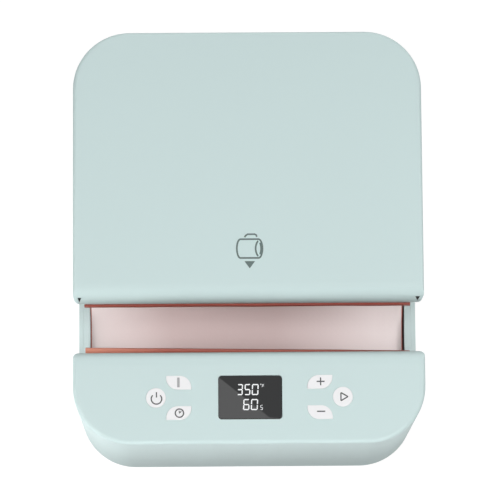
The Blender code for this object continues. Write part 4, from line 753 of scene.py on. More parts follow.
@dataclass
class CoverShell:
    """A cover: a rounded shell, open below and at the jaw, with a lip rolled down at the slot."""

    name: str
    body: str
    lip: float
    far: float
    roll: float
    lip_corner: float = 0.0035
    edge_round: float = 0.0025
    lip_height: float = 0.132
    corner_steps: int = 20
    roll_steps: int = 14
    extra_cutters: list[BMesh] = field(default_factory=list)

    @property
    def side(self) -> float:
        """1 where the slot is at the rear of the piece, and -1 where it is at the front."""
        return math.copysign(1.0, self.lip - self.far)

    def rolled_block(self, lip: float, far: float, half_width: float, bottom: float, top: float,
                     roll: float) -> BMesh:
        """Makes a block with only its top edge at the slot rolled down.

        Args:
            lip: The depth of the lip.
            far: The depth of the other end.
            half_width: Half the width.
            bottom: The lowest height.
            top: The highest height.
            roll: The radius of the roll.

        Returns:
            The mesh.
        """
        low, high = sorted((lip, far))
        bm = block((-half_width, low, bottom), (half_width, high, top))
        crest = [edge for edge in rim_edges(bm, top)
                 if all(near_value(vert.co.y, lip) for vert in edge.verts)]
        bevel(bm, crest, roll, self.roll_steps)
        return bm

    def outside(self) -> BMesh:
        """Makes the outer form as a solid.

        Returns:
            The mesh.
        """
        low, high = sorted((self.lip, self.far))
        bm = block((-SIZES.half_width, low, SIZES.cover_bottom), (SIZES.half_width, high, SIZES.top))
        bevel(bm, uprights(bm, SIZES.half_width, self.far), SIZES.corner, self.corner_steps)
        bevel(bm, uprights(bm, SIZES.half_width, self.lip), self.lip_corner, 6)
        bevel(bm, rim_edges(bm, SIZES.top), self.edge_round, 5)
        beyond = self.far - self.side * OVERRUN
        rolled = self.rolled_block(self.lip, beyond, SIZES.half_width + OVERRUN, SIZES.cover_bottom - OVERRUN,
                                   SIZES.top, self.roll)
        return boolean(bm, Operation.KEEP_COMMON, rolled)

    def inside(self) -> BMesh:
        """Makes the hollow as a solid.

        Returns:
            The mesh.
        """
        lip, far = self.lip - self.side * SIZES.wall, self.far + self.side * SIZES.wall
        low, high = sorted((lip, far))
        width, under = SIZES.inner_half_width, SIZES.top - SIZES.wall
        bm = block((-width, low, SIZES.cover_bottom - OVERRUN), (width, high, under))
        bevel(bm, uprights(bm, width, far), SIZES.corner - SIZES.wall, self.corner_steps)
        rolled = self.rolled_block(lip, far - self.side * OVERRUN, SIZES.half_width,
                                   SIZES.cover_bottom - OVERRUN * 2, under, self.roll - SIZES.wall)
        return boolean(bm, Operation.KEEP_COMMON, rolled)

    def shell(self) -> BMesh:
        """Makes the hollow shell with the throat, the side windows and any further cuts.

        Returns:
            The mesh.
        """
        low, high = sorted((self.lip - self.side * (SIZES.wall + OVERRUN), self.lip + self.side * OVERRUN))
        throat = block((-SIZES.inner_half_width, low, SIZES.cover_bottom - OVERRUN),
                       (SIZES.inner_half_width, high, self.lip_height))
        reach = SIZES.half_width + OVERRUN
        windows = drum((-reach, SIZES.axis_y, SIZES.axis_z), (reach, SIZES.axis_y, SIZES.axis_z),
                       SIZES.side_window, 144)
        bm = self.outside()
        for cutter in (self.inside(), throat, windows, *self.extra_cutters):
            bm = boolean(bm, Operation.CUT, cutter)
        return bm

    def build(self) -> None:
        """Makes the cover and dresses it."""
        add_piece(self.name + "_shell", self.shell(), FINISHES.cover, self.body, (self.name,),
                  even_normals=True)


@dataclass
class LipShadowPads:
    """Small dark pads at the corners of the rear cover's lip: a painted shadow that stands in for the shaded
    gap there.
    """

    outlines: dict[str, tuple[FlatPoint, ...]] = field(default_factory=lambda: {
        "left": ((-0.09559, -0.03370), (-0.09335, -0.03370), (-0.09458, -0.03590)),
        "right": ((0.09307, -0.03395), (0.09587, -0.03395), (0.09443, -0.03600))})
    low: float = 0.1345
    high: float = 0.1404
    fit: float = 0.00004

    def cutters(self) -> list[BMesh]:
        """Makes the blocks that open the cover over the pads."""
        return [plate_from(outline, self.low - OVERRUN, SIZES.top + OVERRUN)
                for outline in self.outlines.values()]

    def build(self) -> None:
        """Makes the pads, a hair smaller than their openings."""
        # Painted shadow: dark rubber fills the notches where only shade would show.
        for hand, outline in self.outlines.items():
            middle = sum((Vector(corner) for corner in outline), Vector((0, 0))) / len(outline)
            corners = [tuple(Vector(corner) + (middle - Vector(corner)).normalized() * self.fit * 2)
                       for corner in outline]
            add_piece(f"lip_shadow_pad_{hand}", plate_from(corners, self.low, self.high), FINISHES.rubber,
                      "jaw_unit")


@dataclass
class BaseTray:
    """The lower tray with its end plates, feet and power inlet."""

    bottom_round: float = 0.0015
    rim_round: float = 0.00008
    plate_gap: float = 0.00005
    foot_radius: float = 0.008
    foot_places: tuple[FlatPoint, ...] = ((-0.076, -0.094), (0.076, -0.094), (-0.076, 0.094), (0.076, 0.094))
    screw_x: float = 0.055
    screw_y: float = -0.107
    head_hole: float = 0.003
    inlet_x: float = 0.050
    inlet_z: float = 0.020
    inlet_half: FlatPoint = (0.0137, 0.010)
    socket_wall: float = 0.002
    socket_depth: float = 0.0168
    socket_chamfer: float = 0.004
    flange_thickness: float = 0.002
    pin_places: tuple[tuple[str, float, float], ...] = (
        ("left", -0.007, -0.002), ("middle", 0.0, 0.002), ("right", 0.007, -0.002))
    pin_half: FlatPoint = (0.001, 0.002)
    pin_setback: float = 0.0043
    post_radius: float = 0.004
    deck_post_x: float = 0.090
    deck_post_ys: FlatPoint = (-0.006, 0.090)
    deck_post_top: float = 0.0483
    board_post_radius: float = 0.0025
    board_post_xs: FlatPoint = (-0.059, -0.017)
    board_post_ys: FlatPoint = (0.049, 0.101)
    board_post_top: float = 0.0087
    support_x: float = 0.078
    support_ys: FlatPoint = (-0.016, 0.099)
    support_half: FlatPoint = (0.007, 0.004)
    support_top: float = 0.028
    support_round: float = 0.0006
    fit: float = 0.0003

    def tray(self) -> BMesh:
        """Makes the open tray with its walls, inlet hole and recessed screw holes.

        Returns:
            The mesh.
        """
        bm = block((-SIZES.half_width, -SIZES.half_depth, SIZES.foot),
                   (SIZES.half_width, SIZES.half_depth, SIZES.rim))
        bevel(bm, uprights(bm, SIZES.half_width), SIZES.corner, 20)
        bevel(bm, rim_edges(bm, SIZES.foot), self.bottom_round, 4)
        bevel(bm, rim_edges(bm, SIZES.rim), self.rim_round, 2)
        floor_top = SIZES.foot + SIZES.floor
        inside = block((-SIZES.inner_half_width, -SIZES.inner_half_depth, floor_top),
                       (SIZES.inner_half_width, SIZES.inner_half_depth, SIZES.rim + OVERRUN))
        bevel(inside, uprights(inside, SIZES.inner_half_width), SIZES.corner - SIZES.wall, 20)
        bm = boolean(bm, Operation.CUT, inside)
        half_width, half_height = self.inlet_half[0] + self.fit, self.inlet_half[1] + self.fit
        hole = block((self.inlet_x - half_width, SIZES.inner_half_depth - OVERRUN,
                      self.inlet_z - half_height),
                     (self.inlet_x + half_width, SIZES.half_depth + OVERRUN, self.inlet_z + half_height))
        for x in (-self.screw_x, self.screw_x):
            drum((x, self.screw_y, SIZES.foot - OVERRUN), (x, self.screw_y, floor_top - self.fit),
                 self.head_hole, 32, bm=hole)
        return boolean(bm, Operation.CUT, hole)

    def posts(self) -> BMesh:
        """Makes the posts and the rod supports that stand on the tray's floor.

        Returns:
            The mesh.
        """
        bm = bmesh.new()
        floor_top = SIZES.foot + SIZES.floor
        for x in (-self.screw_x, self.screw_x):
            drum((x, self.screw_y, floor_top), (x, self.screw_y, SIZES.rim - self.fit), self.post_radius, 32,
                 bm=bm)
        for x in (-self.deck_post_x, self.deck_post_x):
            for y in self.deck_post_ys:
                drum((x, y, floor_top), (x, y, self.deck_post_top), self.post_radius, 32, bm=bm)
        for x in self.board_post_xs:
            for y in self.board_post_ys:
                drum((x, y, floor_top), (x, y, self.board_post_top), self.board_post_radius, 24, bm=bm)
        half_width, half_depth = self.support_half
        for x in (-self.support_x, self.support_x):
            for y in self.support_ys:
                rounded_block((x - half_width, y - half_depth, floor_top),
                              (x + half_width, y + half_depth, self.support_top), self.support_round, 2, bm)
        return bm

    def end_plates(self) -> None:
        """Makes the plates that close the ends of the jaw, close against the tray's walls."""
        for name, side in (("end_plate_left", -1), ("end_plate_right", 1)):
            low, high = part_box(name)
            inner, outer = (high.x, low.x) if side < 0 else (low.x, high.x)
            outer = side * (SIZES.inner_half_width - self.plate_gap)
            across = sorted((inner, outer))
            panel = rounded_block((across[0], low.y, low.z), (across[1], high.y, high.z), self.rim_round, 2)
            add_piece(name + "_panel", panel, FINISHES.tray, "base", (name,))

    def feet(self) -> None:
        """Makes the rubber feet, with a rounded edge and a dimple below."""
        radius, top = self.foot_radius, SIZES.foot - self.fit
        profile = [(0, 0.0004), (radius * 0.55, 0.0004), (radius * 0.62, 0), (radius - 0.0009, 0),
                   (radius - 0.0003, 0.0004), (radius, 0.0012), (radius, top), (0, top)]
        names = ("foot_front_left", "foot_front_right", "foot_rear_left", "foot_rear_right")
        for name, (x, y) in zip(names, self.foot_places):
            add_piece(name + "_pad", lathe(profile, (x, y, 0)), FINISHES.rubber, "base", (name,))

    def inlet(self) -> None:
        """Makes the power inlet with its chamfered socket and metal pins."""
        low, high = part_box("power_inlet")
        half_width, half_height = self.inlet_half
        front = high[1]
        body = rounded_block((self.inlet_x - half_width, low[1], self.inlet_z - half_height),
                             (self.inlet_x + half_width, front, self.inlet_z + half_height), 0.0005, 2)
        flange_rear = SIZES.inner_half_depth - self.fit
        flange = block((low[0], flange_rear - self.flange_thickness, low[2]), (high[0], flange_rear, high[2]))
        body = boolean(body, Operation.JOIN, flange)
        wall, depth = self.socket_wall, self.socket_depth
        socket = block((self.inlet_x - half_width + wall, front - depth, self.inlet_z - half_height + wall),
                       (self.inlet_x + half_width - wall, front + OVERRUN, self.inlet_z + half_height - wall))
        top = self.inlet_z + half_height - wall
        corners = [edge for edge in socket.edges
                   if all(near_value(vert.co.z, top) for vert in edge.verts)
                   and near_value(edge.verts[0].co.x, edge.verts[1].co.x)]
        bevel(socket, corners, self.socket_chamfer, 1)
        add_piece("power_inlet_body", boolean(body, Operation.CUT, socket), FINISHES.dark, "base",
                  ("power_inlet",))
        half_width, half_height = self.pin_half
        for name, across, up in self.pin_places:
            x, z = self.inlet_x + across, self.inlet_z + up
            pin = rounded_block((x - half_width, front - depth, z - half_height),
                                (x + half_width, front - self.pin_setback, z + half_height), 0.0004, 2)
            add_piece(f"inlet_pin_{name}", pin, FINISHES.brass, "base")

    def build(self) -> None:
        """Makes the tray and everything fixed to it from outside."""
        add_piece("base_tray_shell", self.tray(), FINISHES.tray, "base", ("base_tray",),
                  even_normals=True)
        add_piece("base_tray_posts", self.posts(), FINISHES.tray, "base")
        self.end_plates()
        self.feet()
        self.inlet()


@dataclass
class JawLining:
    """One half of the heated jaw: shell, foam, mat and the thick edge of the mat at the slot.

    Angles are in degrees round the mug's axis, from straight up towards the front.
    """

    prefix: str
    body: str
    foot: float
    shell_lip: float
    mat_lip: float
    edge_left: float
    edge_right: float
    edge_far: float
    edge_finish: Finish
    waviness: float = 0.0
    edge_span: FlatPoint = (-0.0915, 0.0903)
    mat_shift: float = -0.0004
    sealed: bool = False
    seal_radius: float = 0.0456
    seal_thickness: float = 0.0026
    seal_clearance: float = 0.0002
    seal_lead: float = 3.0
    seal_round: float = 0.0003
    binding: float = 0.0005
    mat_radius: float = 0.0425
    mat_thickness: float = 0.0016
    foam_thickness: float = 0.003
    shell_thickness: float = 0.0018
    edge_thickness: float = 0.0024
    fit: float = 0.0003
    half_length: float = 0.0909
    step: float = 2.0

    def band(self, radius: float, thickness: float, start: float, end: float, half_length: float,
             rounding: float, lengthwise: int = 1) -> BMesh:
        """Makes a curved sheet round the mug's axis.

        Args:
            radius: The inner radius.
            thickness: The thickness.
            start: The first angle.
            end: The last angle.
            half_length: Half the length along the axis.
            rounding: The radius of its edges.
            lengthwise: The number of spans along the axis.

        Returns:
            The mesh, with a map in metres of length and arc.
        """
        first, last = min(start, end), max(start, end)
        bm = bmesh.new()
        turn = Matrix.Rotation(math.radians(first), 3, "X")
        centre = Vector((0, SIZES.axis_y, SIZES.axis_z))
        ring = []
        for distance, xs in ((radius, 1), (radius + thickness, -1)):
            for number in range(lengthwise + 1):
                x = xs * half_length * (2 * number / lengthwise - 1)
                ring.append(bm.verts.new(centre + Vector((x, 0, 0)) + turn @ Vector((0, 0, distance))))
        edges = [bm.edges.new((one, other)) for one, other in zip(ring, ring[1:] + ring[:1])]
        steps = max(1, round((last - first) / self.step))
        bmesh.ops.spin(bm, geom=ring + edges, cent=centre, axis=(1, 0, 0), angle=math.radians(last - first),
                       steps=steps)
        ends = [edge for edge in bm.edges if edge.is_boundary]
        bmesh.ops.holes_fill(bm, edges=ends, sides=0)
        bmesh.ops.recalc_face_normals(bm, faces=bm.faces)
        if rounding > 0:
            bevel(bm, sharp_edges(bm), rounding, 2)
        self.map_arc(bm, centre)
        return bm

    def map_arc(self, bm: BMesh, centre: Vector) -> None:
        """Lays a map on a sheet: length along the axis, and arc round it.

        Args:
            bm: The sheet.
            centre: A point on the mug's axis.
        """
        layer = bm.loops.layers.uv.new("arc")
        for face in bm.faces:
            for loop in face.loops:
                offset = loop.vert.co - centre
                angle = math.atan2(-offset.y, offset.z)
                if angle < 0 and offset.z < 0:
                    angle += math.tau
                loop[layer].uv = (offset.x, angle * self.mat_radius)

    def mat_edge(self) -> BMesh:
        """Makes the silicone edge of the mat, whose soft lip is uneven and wider at one end.

        Returns:
            The mesh.
        """
        left, right = self.edge_span
        half = (right - left) / 2
        bm = self.band(self.mat_radius, self.edge_thickness, self.edge_left, self.edge_far, half, 0.0, 36)
        centre = Vector((0, SIZES.axis_y, SIZES.axis_z))
        for vert in bm.verts:
            offset = vert.co - centre
            angle = math.degrees(math.atan2(-offset.y, offset.z)) % 360
            share = (angle - self.edge_far) / (self.edge_left - self.edge_far)
            along = (vert.co.x + half) / (half * 2)
            lip = self.edge_left + (self.edge_right - self.edge_left) * along
            lip += self.waviness * (math.sin(along * 15) + 0.6 * math.sin(along * 37 + 1))
            turn = Matrix.Rotation(math.radians((lip - self.edge_left) * share), 3, "X")
            vert.co = centre + turn @ offset + Vector(((left + right) / 2, 0, 0))
        bevel(bm, sharp_edges(bm), 0.00025, 2)
        return bm

    def mat_bindings(self) -> None:
        """Makes the thin silicone bindings round both ends of the mat."""
        for hand, side in (("left", -1), ("right", 1)):
            strip = self.band(self.mat_radius - 0.00006, self.mat_thickness, self.mat_lip, self.foot,
                              self.binding / 2, 0.0)
            middle = self.mat_shift + side * (self.half_length - self.binding / 2)
            bmesh.ops.translate(strip, vec=(middle + side * 0.00004, 0, 0), verts=strip.verts)
            add_piece(f"{self.prefix}_mat_binding_{hand}", strip, FINISHES.strip, self.body)

    def end_seals(self) -> None:
        """Makes the foam rings that close the gaps between the jaw's ends and the cover's walls."""
        outer = SIZES.inner_half_width - self.seal_clearance
        for hand, side in (("left", -1), ("right", 1)):
            inner = self.half_length + self.seal_clearance - side * self.mat_shift
            ring = self.band(self.seal_radius, self.seal_thickness, self.shell_lip - self.seal_lead, self.foot,
                             (outer - inner) / 2, self.seal_round)
            bmesh.ops.translate(ring, vec=(side * (outer + inner) / 2, 0, 0), verts=ring.verts)
            add_piece(f"{self.prefix}_end_seal_{hand}", ring, FINISHES.rubber, self.body)

    def build(self) -> None:
        """Makes the four layers."""
        foam_radius = self.mat_radius + self.mat_thickness + self.fit
        shell_radius = foam_radius + self.foam_thickness + self.fit
        shell_length = self.half_length - self.fit
        layers = (
            ("heater_mat", self.mat_radius, self.mat_thickness, self.mat_lip, self.half_length, FINISHES.mat,
             "mat_fabric"),
            ("foam", foam_radius, self.foam_thickness, self.shell_lip, shell_length, FINISHES.foam, "foam"),
            ("jaw_shell", shell_radius, self.shell_thickness, self.shell_lip, shell_length,
             FINISHES.aluminium, "aluminium"),
        )
        for name, radius, thickness, lip, length, finish, slot in layers:
            sheet = self.band(radius, thickness, lip, self.foot, length, min(thickness * 0.2, 0.0004))
            if name == "heater_mat":
                bmesh.ops.translate(sheet, vec=(self.mat_shift, 0, 0), verts=sheet.verts)
            node = f"{self.prefix}_{name}"
            add_piece(node + "_sheet", sheet, finish, self.body, (node,))
        self.mat_bindings()
        if self.sealed:
            self.end_seals()
        add_piece(f"{self.prefix}_mat_edge_strip", self.mat_edge(), self.edge_finish, self.body,
                  (f"{self.prefix}_mat_edge",))


@dataclass
class GlyphSet:
    """The signs printed on the buttons, about the middle of each sign's place."""

    width: float = 0.0007

    def lines(self, glyph: Glyph) -> list[tuple[list[FlatPoint], bool]]:
        """Gives a sign's lines about the origin.

        Args:
            glyph: The sign.

        Returns:
            Each line's points, and whether it closes on itself.
        """
        if glyph is Glyph.POWER:
            return [(arc_points((0, 0), 0.0029, 135, 405, 40), False), ([(0, 0.0008), (0, 0.0038)], False)]
        if glyph is Glyph.TIMER:
            return [(arc_points((0, 0), 0.0023, 0, 351, 39), True),
                    ([(-0.0001, 0.0013), (0, 0), (0.0010, 0.0010)], False)]
        if glyph is Glyph.PLUS:
            return [([(-0.0022, 0), (0.0022, 0)], False), ([(0, -0.0022), (0, 0.0022)], False)]
        if glyph is Glyph.MINUS:
            return [([(-0.0023, 0), (0.0023, 0)], False)]
        if glyph is Glyph.START:
            corners = [(-0.0014, -0.0023), (-0.0014, 0.0023), (0.0025, 0)]
            return [(self.softened(corners, 0.0004), True)]
        return [([(x, -0.0027), (x, 0.0027)], False) for x in (-0.00035, 0.0, 0.00035)]

    def softened(self, corners: Sequence[FlatPoint], cut: float) -> list[FlatPoint]:
        """Gives a closed outline whose corners are cut twice, so that a thick line bends smoothly.

        Args:
            corners: The outline's corners, in order.
            cut: How far from a corner its cut starts.

        Returns:
            The softened outline.
        """
        points: list[FlatPoint] = []
        for before, corner, after in zip(corners[-1:] + corners[:-1], corners, corners[1:] + corners[:1]):
            place = Vector(corner)
            back, ahead = (Vector(before) - place).normalized(), (Vector(after) - place).normalized()
            points += [tuple(place + back * cut), tuple(place + (back + ahead) * cut * 0.25),
                       tuple(place + ahead * cut)]
        return points


@dataclass
class ControlPanel:
    """The six buttons with their printed signs, and the display."""

    glyphs: GlyphSet = field(default_factory=GlyphSet)
    rise: float = 0.00046
    ink_rise: float = 0.00004
    gap: float = 0.00007
    round_radius: float = 0.00552
    leaf_length: float = 0.0140
    leaf_width: float = 0.0077
    leaf_tight: float = 0.00035
    leaf_wide: float = 0.0065
    edge_round: float = 0.00028
    flange_margin: float = 0.0008
    flange_rise: FlatPoint = (-0.0018, -0.0003)
    flange_overlap: float = 0.0005
    stem_radius: float = 0.0016
    window_low: FlatPoint = (-0.0171, -0.1027)
    window_high: FlatPoint = (0.0180, -0.0787)
    window_corner: float = 0.0017
    window_sink: float = 0.0001
    buttons: tuple[tuple[str, FlatPoint, Optional[Lean], Glyph, FlatPoint], ...] = (
        ("power_button", (-0.0519, -0.0907), None, Glyph.POWER, (-0.0516, -0.0913)),
        ("temperature_button", (-0.0392, -0.0823), Lean.FALLING, Glyph.TEMPERATURE, (-0.0394, -0.0822)),
        ("timer_button", (-0.0392, -0.0992), Lean.RISING, Glyph.TIMER, (-0.0389, -0.0993)),
        ("plus_button", (0.0392, -0.0823), Lean.RISING, Glyph.PLUS, (0.0396, -0.0821)),
        ("minus_button", (0.0392, -0.0992), Lean.FALLING, Glyph.MINUS, (0.0397, -0.0988)),
        ("start_button", (0.0519, -0.0907), None, Glyph.START, (0.0522, -0.0907)),
    )

    def prism(self, place: FlatPoint, lean: Optional[Lean], margin: float, low: float, high: float) -> BMesh:
        """Makes a round or leaf-shaped block.

        Args:
            place: Its middle.
            lean: Which corners of a leaf are wide, or None for a round block.
            margin: How far it stands out from the button's outline.
            low: The lowest height.
            high: The highest height.

        Returns:
            The mesh.
        """
        x, y = place
        if lean is None:
            return drum((x, y, low), (x, y, high), self.round_radius + margin, 64)
        half_length, half_width = self.leaf_length / 2 + margin, self.leaf_width / 2 + margin
        bm = block((x - half_length, y - half_width, low), (x + half_length, y + half_width, high))
        wide = [edge for edge in uprights(bm)
                if ((edge.verts[0].co.x - x) * (edge.verts[0].co.y - y) > 0) == (lean is Lean.FALLING)]
        bevel(bm, wide, self.leaf_wide + margin, 18)
        tight = [edge for edge in uprights(bm) if self.at_corner(edge, x, y, half_length, half_width)]
        bevel(bm, tight, self.leaf_tight + margin, 5)
        return bm

    def at_corner(self, edge: BMEdge, x: float, y: float, half_length: float, half_width: float) -> bool:
        """Says whether an upright edge stands at a square corner of a leaf's box."""
        place = edge.verts[0].co
        return near_value(abs(place.x - x), half_length) and near_value(abs(place.y - y), half_width)

    def cutters(self) -> list[BMesh]:
        """Makes the blocks that open the panel for the window and the buttons.

        Returns:
            One mesh with all the blocks.
        """
        low, high = SIZES.top - SIZES.wall - OVERRUN, SIZES.top + OVERRUN
        margin = 0.00025
        window = block((self.window_low[0] - margin, self.window_low[1] - margin, low),
                       (self.window_high[0] + margin, self.window_high[1] + margin, high))
        bevel(window, uprights(window), self.window_corner + margin, 8)
        for _, place, lean, _, _ in self.buttons:
            window = merged(window, self.prism(place, lean, self.gap, low, high))
        return [window]

    def build_buttons(self) -> None:
        """Makes each button's cap with its flange and stem, and its printed sign."""
        face = SIZES.top + self.rise
        for name, place, lean, glyph, glyph_place in self.buttons:
            low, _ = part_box(name)
            flange_low, flange_high = (SIZES.top - SIZES.wall + rise for rise in self.flange_rise)
            cap = self.prism(place, lean, 0.0, flange_high - self.flange_overlap, face)
            bevel(cap, rim_edges(cap, face), self.edge_round, 4)
            cap = merged(cap, self.prism(place, lean, self.flange_margin, flange_low,
                                         flange_high - self.flange_overlap))
            drum((*place, low[2]), (*place, flange_low), self.stem_radius, 24, bm=cap)
            body = name + "_body"
            add_piece(name + "_cap", cap, FINISHES.button, body, (name,), even_normals=True)
            self.build_sign(name, glyph, glyph_place, body, face)

    def build_sign(self, name: str, glyph: Glyph, place: FlatPoint, body: str, face: float) -> None:
        """Makes a button's printed sign.

        Args:
            name: The button's name.
            glyph: The sign.
            place: The sign's middle.
            body: The body that the button moves with.
            face: The height of the button's face.
        """
        shift = Matrix.Translation((*place, 0))
        bm = strokes(self.glyphs.lines(glyph), self.glyphs.width, face - self.ink_rise, face + self.ink_rise)
        bmesh.ops.transform(bm, matrix=shift, verts=bm.verts)
        finish = FINISHES.pale_ink if glyph is Glyph.TEMPERATURE else FINISHES.ink
        add_piece(name + "_sign", bm, finish, body)

    def build(self) -> None:
        """Makes the buttons and the display."""
        self.build_buttons()
        Display(self.window_low, self.window_high, self.window_corner, SIZES.top - self.window_sink).build()


@dataclass
class Display:
    """The smoked window with its lit figures."""

    low: FlatPoint
    high: FlatPoint
    corner: float
    face: float
    stroke: float = 0.00062
    slant: float = 0.05
    lit_rise: float = 0.00003
    edge_round: float = 0.00025
    body_depth: float = 0.0004
    flange_margin: float = 0.002
    flange_depth: float = 0.0012
    degree_place: FlatPoint = (0.00640, -0.08352)
    degree_radius: float = 0.00024
    degree_width: float = 0.00018
    figures: tuple[tuple[str, FlatPoint, FlatPoint], ...] = (
        ("3", (-0.00690, -0.08945), (-0.00345, -0.08328)), ("5", (-0.00282, -0.08945), (0.00078, -0.08328)),
        ("0", (0.00122, -0.08945), (0.00525, -0.08328)), ("6", (-0.00360, -0.09782), (0.00018, -0.09165)),
        ("0", (0.00066, -0.09782), (0.00486, -0.09165)))
    units: tuple[tuple[str, FlatPoint, FlatPoint, float], ...] = (
        ("F", (0.00700, -0.08520), (0.00832, -0.08345), 0.00024),
        ("s", (0.00590, -0.09775), (0.00748, -0.09500), 0.00028))
    segments: dict[str, str] = field(default_factory=lambda: {
        "0": "abcdef", "3": "abcdg", "5": "afgcd", "6": "afgedc", "F": "afge", "s": "afgcd"})

    def bar(self, bm: BMesh, start: FlatPoint, end: FlatPoint, width: float, depth: float) -> None:
        """Adds one segment, a bar with pointed ends.

        Args:
            bm: The mesh that grows.
            start: The first end.
            end: The last end.
            width: The bar's width.
            depth: How far it stands below its face.
        """
        along = Vector(end) - Vector(start)
        length = along.length
        piece = block((-length / 2, -width / 2, -depth), (length / 2, width / 2, 0))
        bevel(piece, uprights(piece), width * 0.3, 1)
        middle = (Vector(start) + Vector(end)) / 2
        place = Matrix.Translation((middle.x, middle.y, self.face + self.lit_rise)) @ Matrix.Rotation(
            math.atan2(along.y, along.x), 4, "Z")
        bmesh.ops.transform(piece, matrix=place, verts=piece.verts)
        merged(bm, piece)

    def figure(self, bm: BMesh, sign: str, low: FlatPoint, high: FlatPoint, stroke: float) -> None:
        """Adds one seven-segment figure that fills a box.

        Args:
            bm: The mesh that grows.
            sign: The figure or letter.
            low: The box's lower left corner.
            high: The box's upper right corner.
            stroke: The width of the segments.
        """
        half = stroke / 2
        height = high[1] - low[1]
        lean = self.slant * height
        left, right = low[0] + half, high[0] - half - lean
        bottom, top = low[1] + half, high[1] - half
        middle = (bottom + top) / 2
        gap = stroke * 0.12

        def leaned(x: float, y: float) -> FlatPoint:
            """Leans a point to the right by its height."""
            return (x + (y - bottom) * self.slant, y)

        ends = {
            "a": ((left + gap, top), (right - gap, top)),
            "b": ((right, top - gap), (right, middle + gap * 3)),
            "c": ((right, middle - gap * 3), (right, bottom + gap)),
            "d": ((left + gap, bottom), (right - gap, bottom)),
            "e": ((left, middle - gap * 3), (left, bottom + gap)),
            "f": ((left, top - gap), (left, middle + gap * 3)),
            "g": ((left + gap, middle), (right - gap, middle)),
        }
        for name in self.segments[sign]:
            start, end = ends[name]
            self.bar(bm, leaned(*start), leaned(*end), stroke, self.lit_rise * 2)

    def build(self) -> None:
        """Makes the window, its module and the lit figures."""
        under = SIZES.top - SIZES.wall
        seat, margin = under - self.body_depth, self.flange_margin
        lens = block((*self.low, seat), (*self.high, self.face))
        bevel(lens, uprights(lens), self.corner, 8)
        bevel(lens, rim_edges(lens, self.face), self.edge_round, 2)
        flange = block((self.low[0] - margin, self.low[1] - margin, under - self.flange_depth),
                       (self.high[0] + margin, self.high[1] + margin, seat))
        bevel(flange, uprights(flange), self.corner + margin, 8)
        add_piece("display_window_lens", merged(lens, flange), FINISHES.lens, "base",
                  ("display_window",), even_normals=True)
        lit = bmesh.new()
        for sign, low, high in self.figures:
            self.figure(lit, sign, low, high, self.stroke)
        add_piece("display_figures", lit, FINISHES.lit, "base")
        units = bmesh.new()
        for sign, low, high, stroke in self.units:
            self.figure(units, sign, low, high, stroke)
        ring = strokes([(arc_points(self.degree_place, self.degree_radius, 0, 330, 11), True)],
                       self.degree_width, self.face - self.lit_rise, self.face + self.lit_rise)
        add_piece("display_units", merged(units, ring), FINISHES.lit, "base")


@dataclass
class MugGuide:
    """The sign on the rear cover that shows how a mug lies in the press."""

    width: float = 0.00098
    rise: float = 0.00003
    left: float = -0.0064
    right: float = 0.0079
    bottom: float = -0.0125
    top: float = -0.0019
    bulge: float = 0.0020
    mouth_fullness: float = 1.1
    rim_x: float = 0.0048
    rim_bow: FlatPoint = (0.0007, 0.0008)
    rim_share: float = 0.80
    liner_gap: float = 0.00075
    liner_bow: float = 0.0006
    liner_share: float = 0.62
    handle: tuple[FlatPoint, ...] = ((-0.0021, -0.0007), (-0.0011, 0.0004), (-0.0003, 0.0009),
                                     (0.0036, 0.0009), (0.0044, 0.0005), (0.0048, -0.0006))
    arrow: tuple[FlatPoint, ...] = ((-0.00225, -0.01428), (0.00371, -0.01428), (0.00074, -0.01840))
    arrow_round: float = 0.00030

    @staticmethod
    def turns(first: int, last: int, step: int) -> list[FlatPoint]:
        """Gives the cosine and the sine of each angle in a range of degrees."""
        angles = (math.radians(angle) for angle in range(first, last, step))
        return [(math.cos(angle), math.sin(angle)) for angle in angles]

    def build(self) -> None:
        """Prints the lying mug and the arrow under it."""
        middle = (self.bottom + self.top) / 2
        half = (self.top - self.bottom) / 2
        left_side = [(self.left + self.bulge * (1 - cosine), middle + half * sine)
                     for cosine, sine in self.turns(90, -91, -10)]
        right_side = [(self.right - self.bulge * (1 - cosine) * self.mouth_fullness, middle + half * sine)
                      for cosine, sine in self.turns(-90, 91, 10)]
        rim = [(self.rim_x - self.rim_bow[0] * cosine + self.rim_bow[1] * sine ** 2,
                middle + half * self.rim_share * sine) for cosine, sine in self.turns(-90, 91, 12)]
        liner = [(self.right - self.liner_gap - self.liner_bow * sine ** 2,
                  middle + half * self.liner_share * sine) for _, sine in self.turns(-90, 91, 15)]
        low, high = SIZES.top - self.rise, SIZES.top + self.rise
        lines = [(left_side + right_side, True), (rim, False), (list(self.handle), False)]
        bm = merged(strokes(lines, self.width, low, high), strokes([(liner, False)], self.width, low, high))
        add_piece("mug_guide_sign", bm, FINISHES.guide_ink, "jaw_unit")
        arrow = plate_from(self.arrow, low, high)
        bevel(arrow, uprights(arrow), self.arrow_round, 3)
        add_piece("mug_guide_arrow", arrow, FINISHES.guide_ink, "jaw_unit")


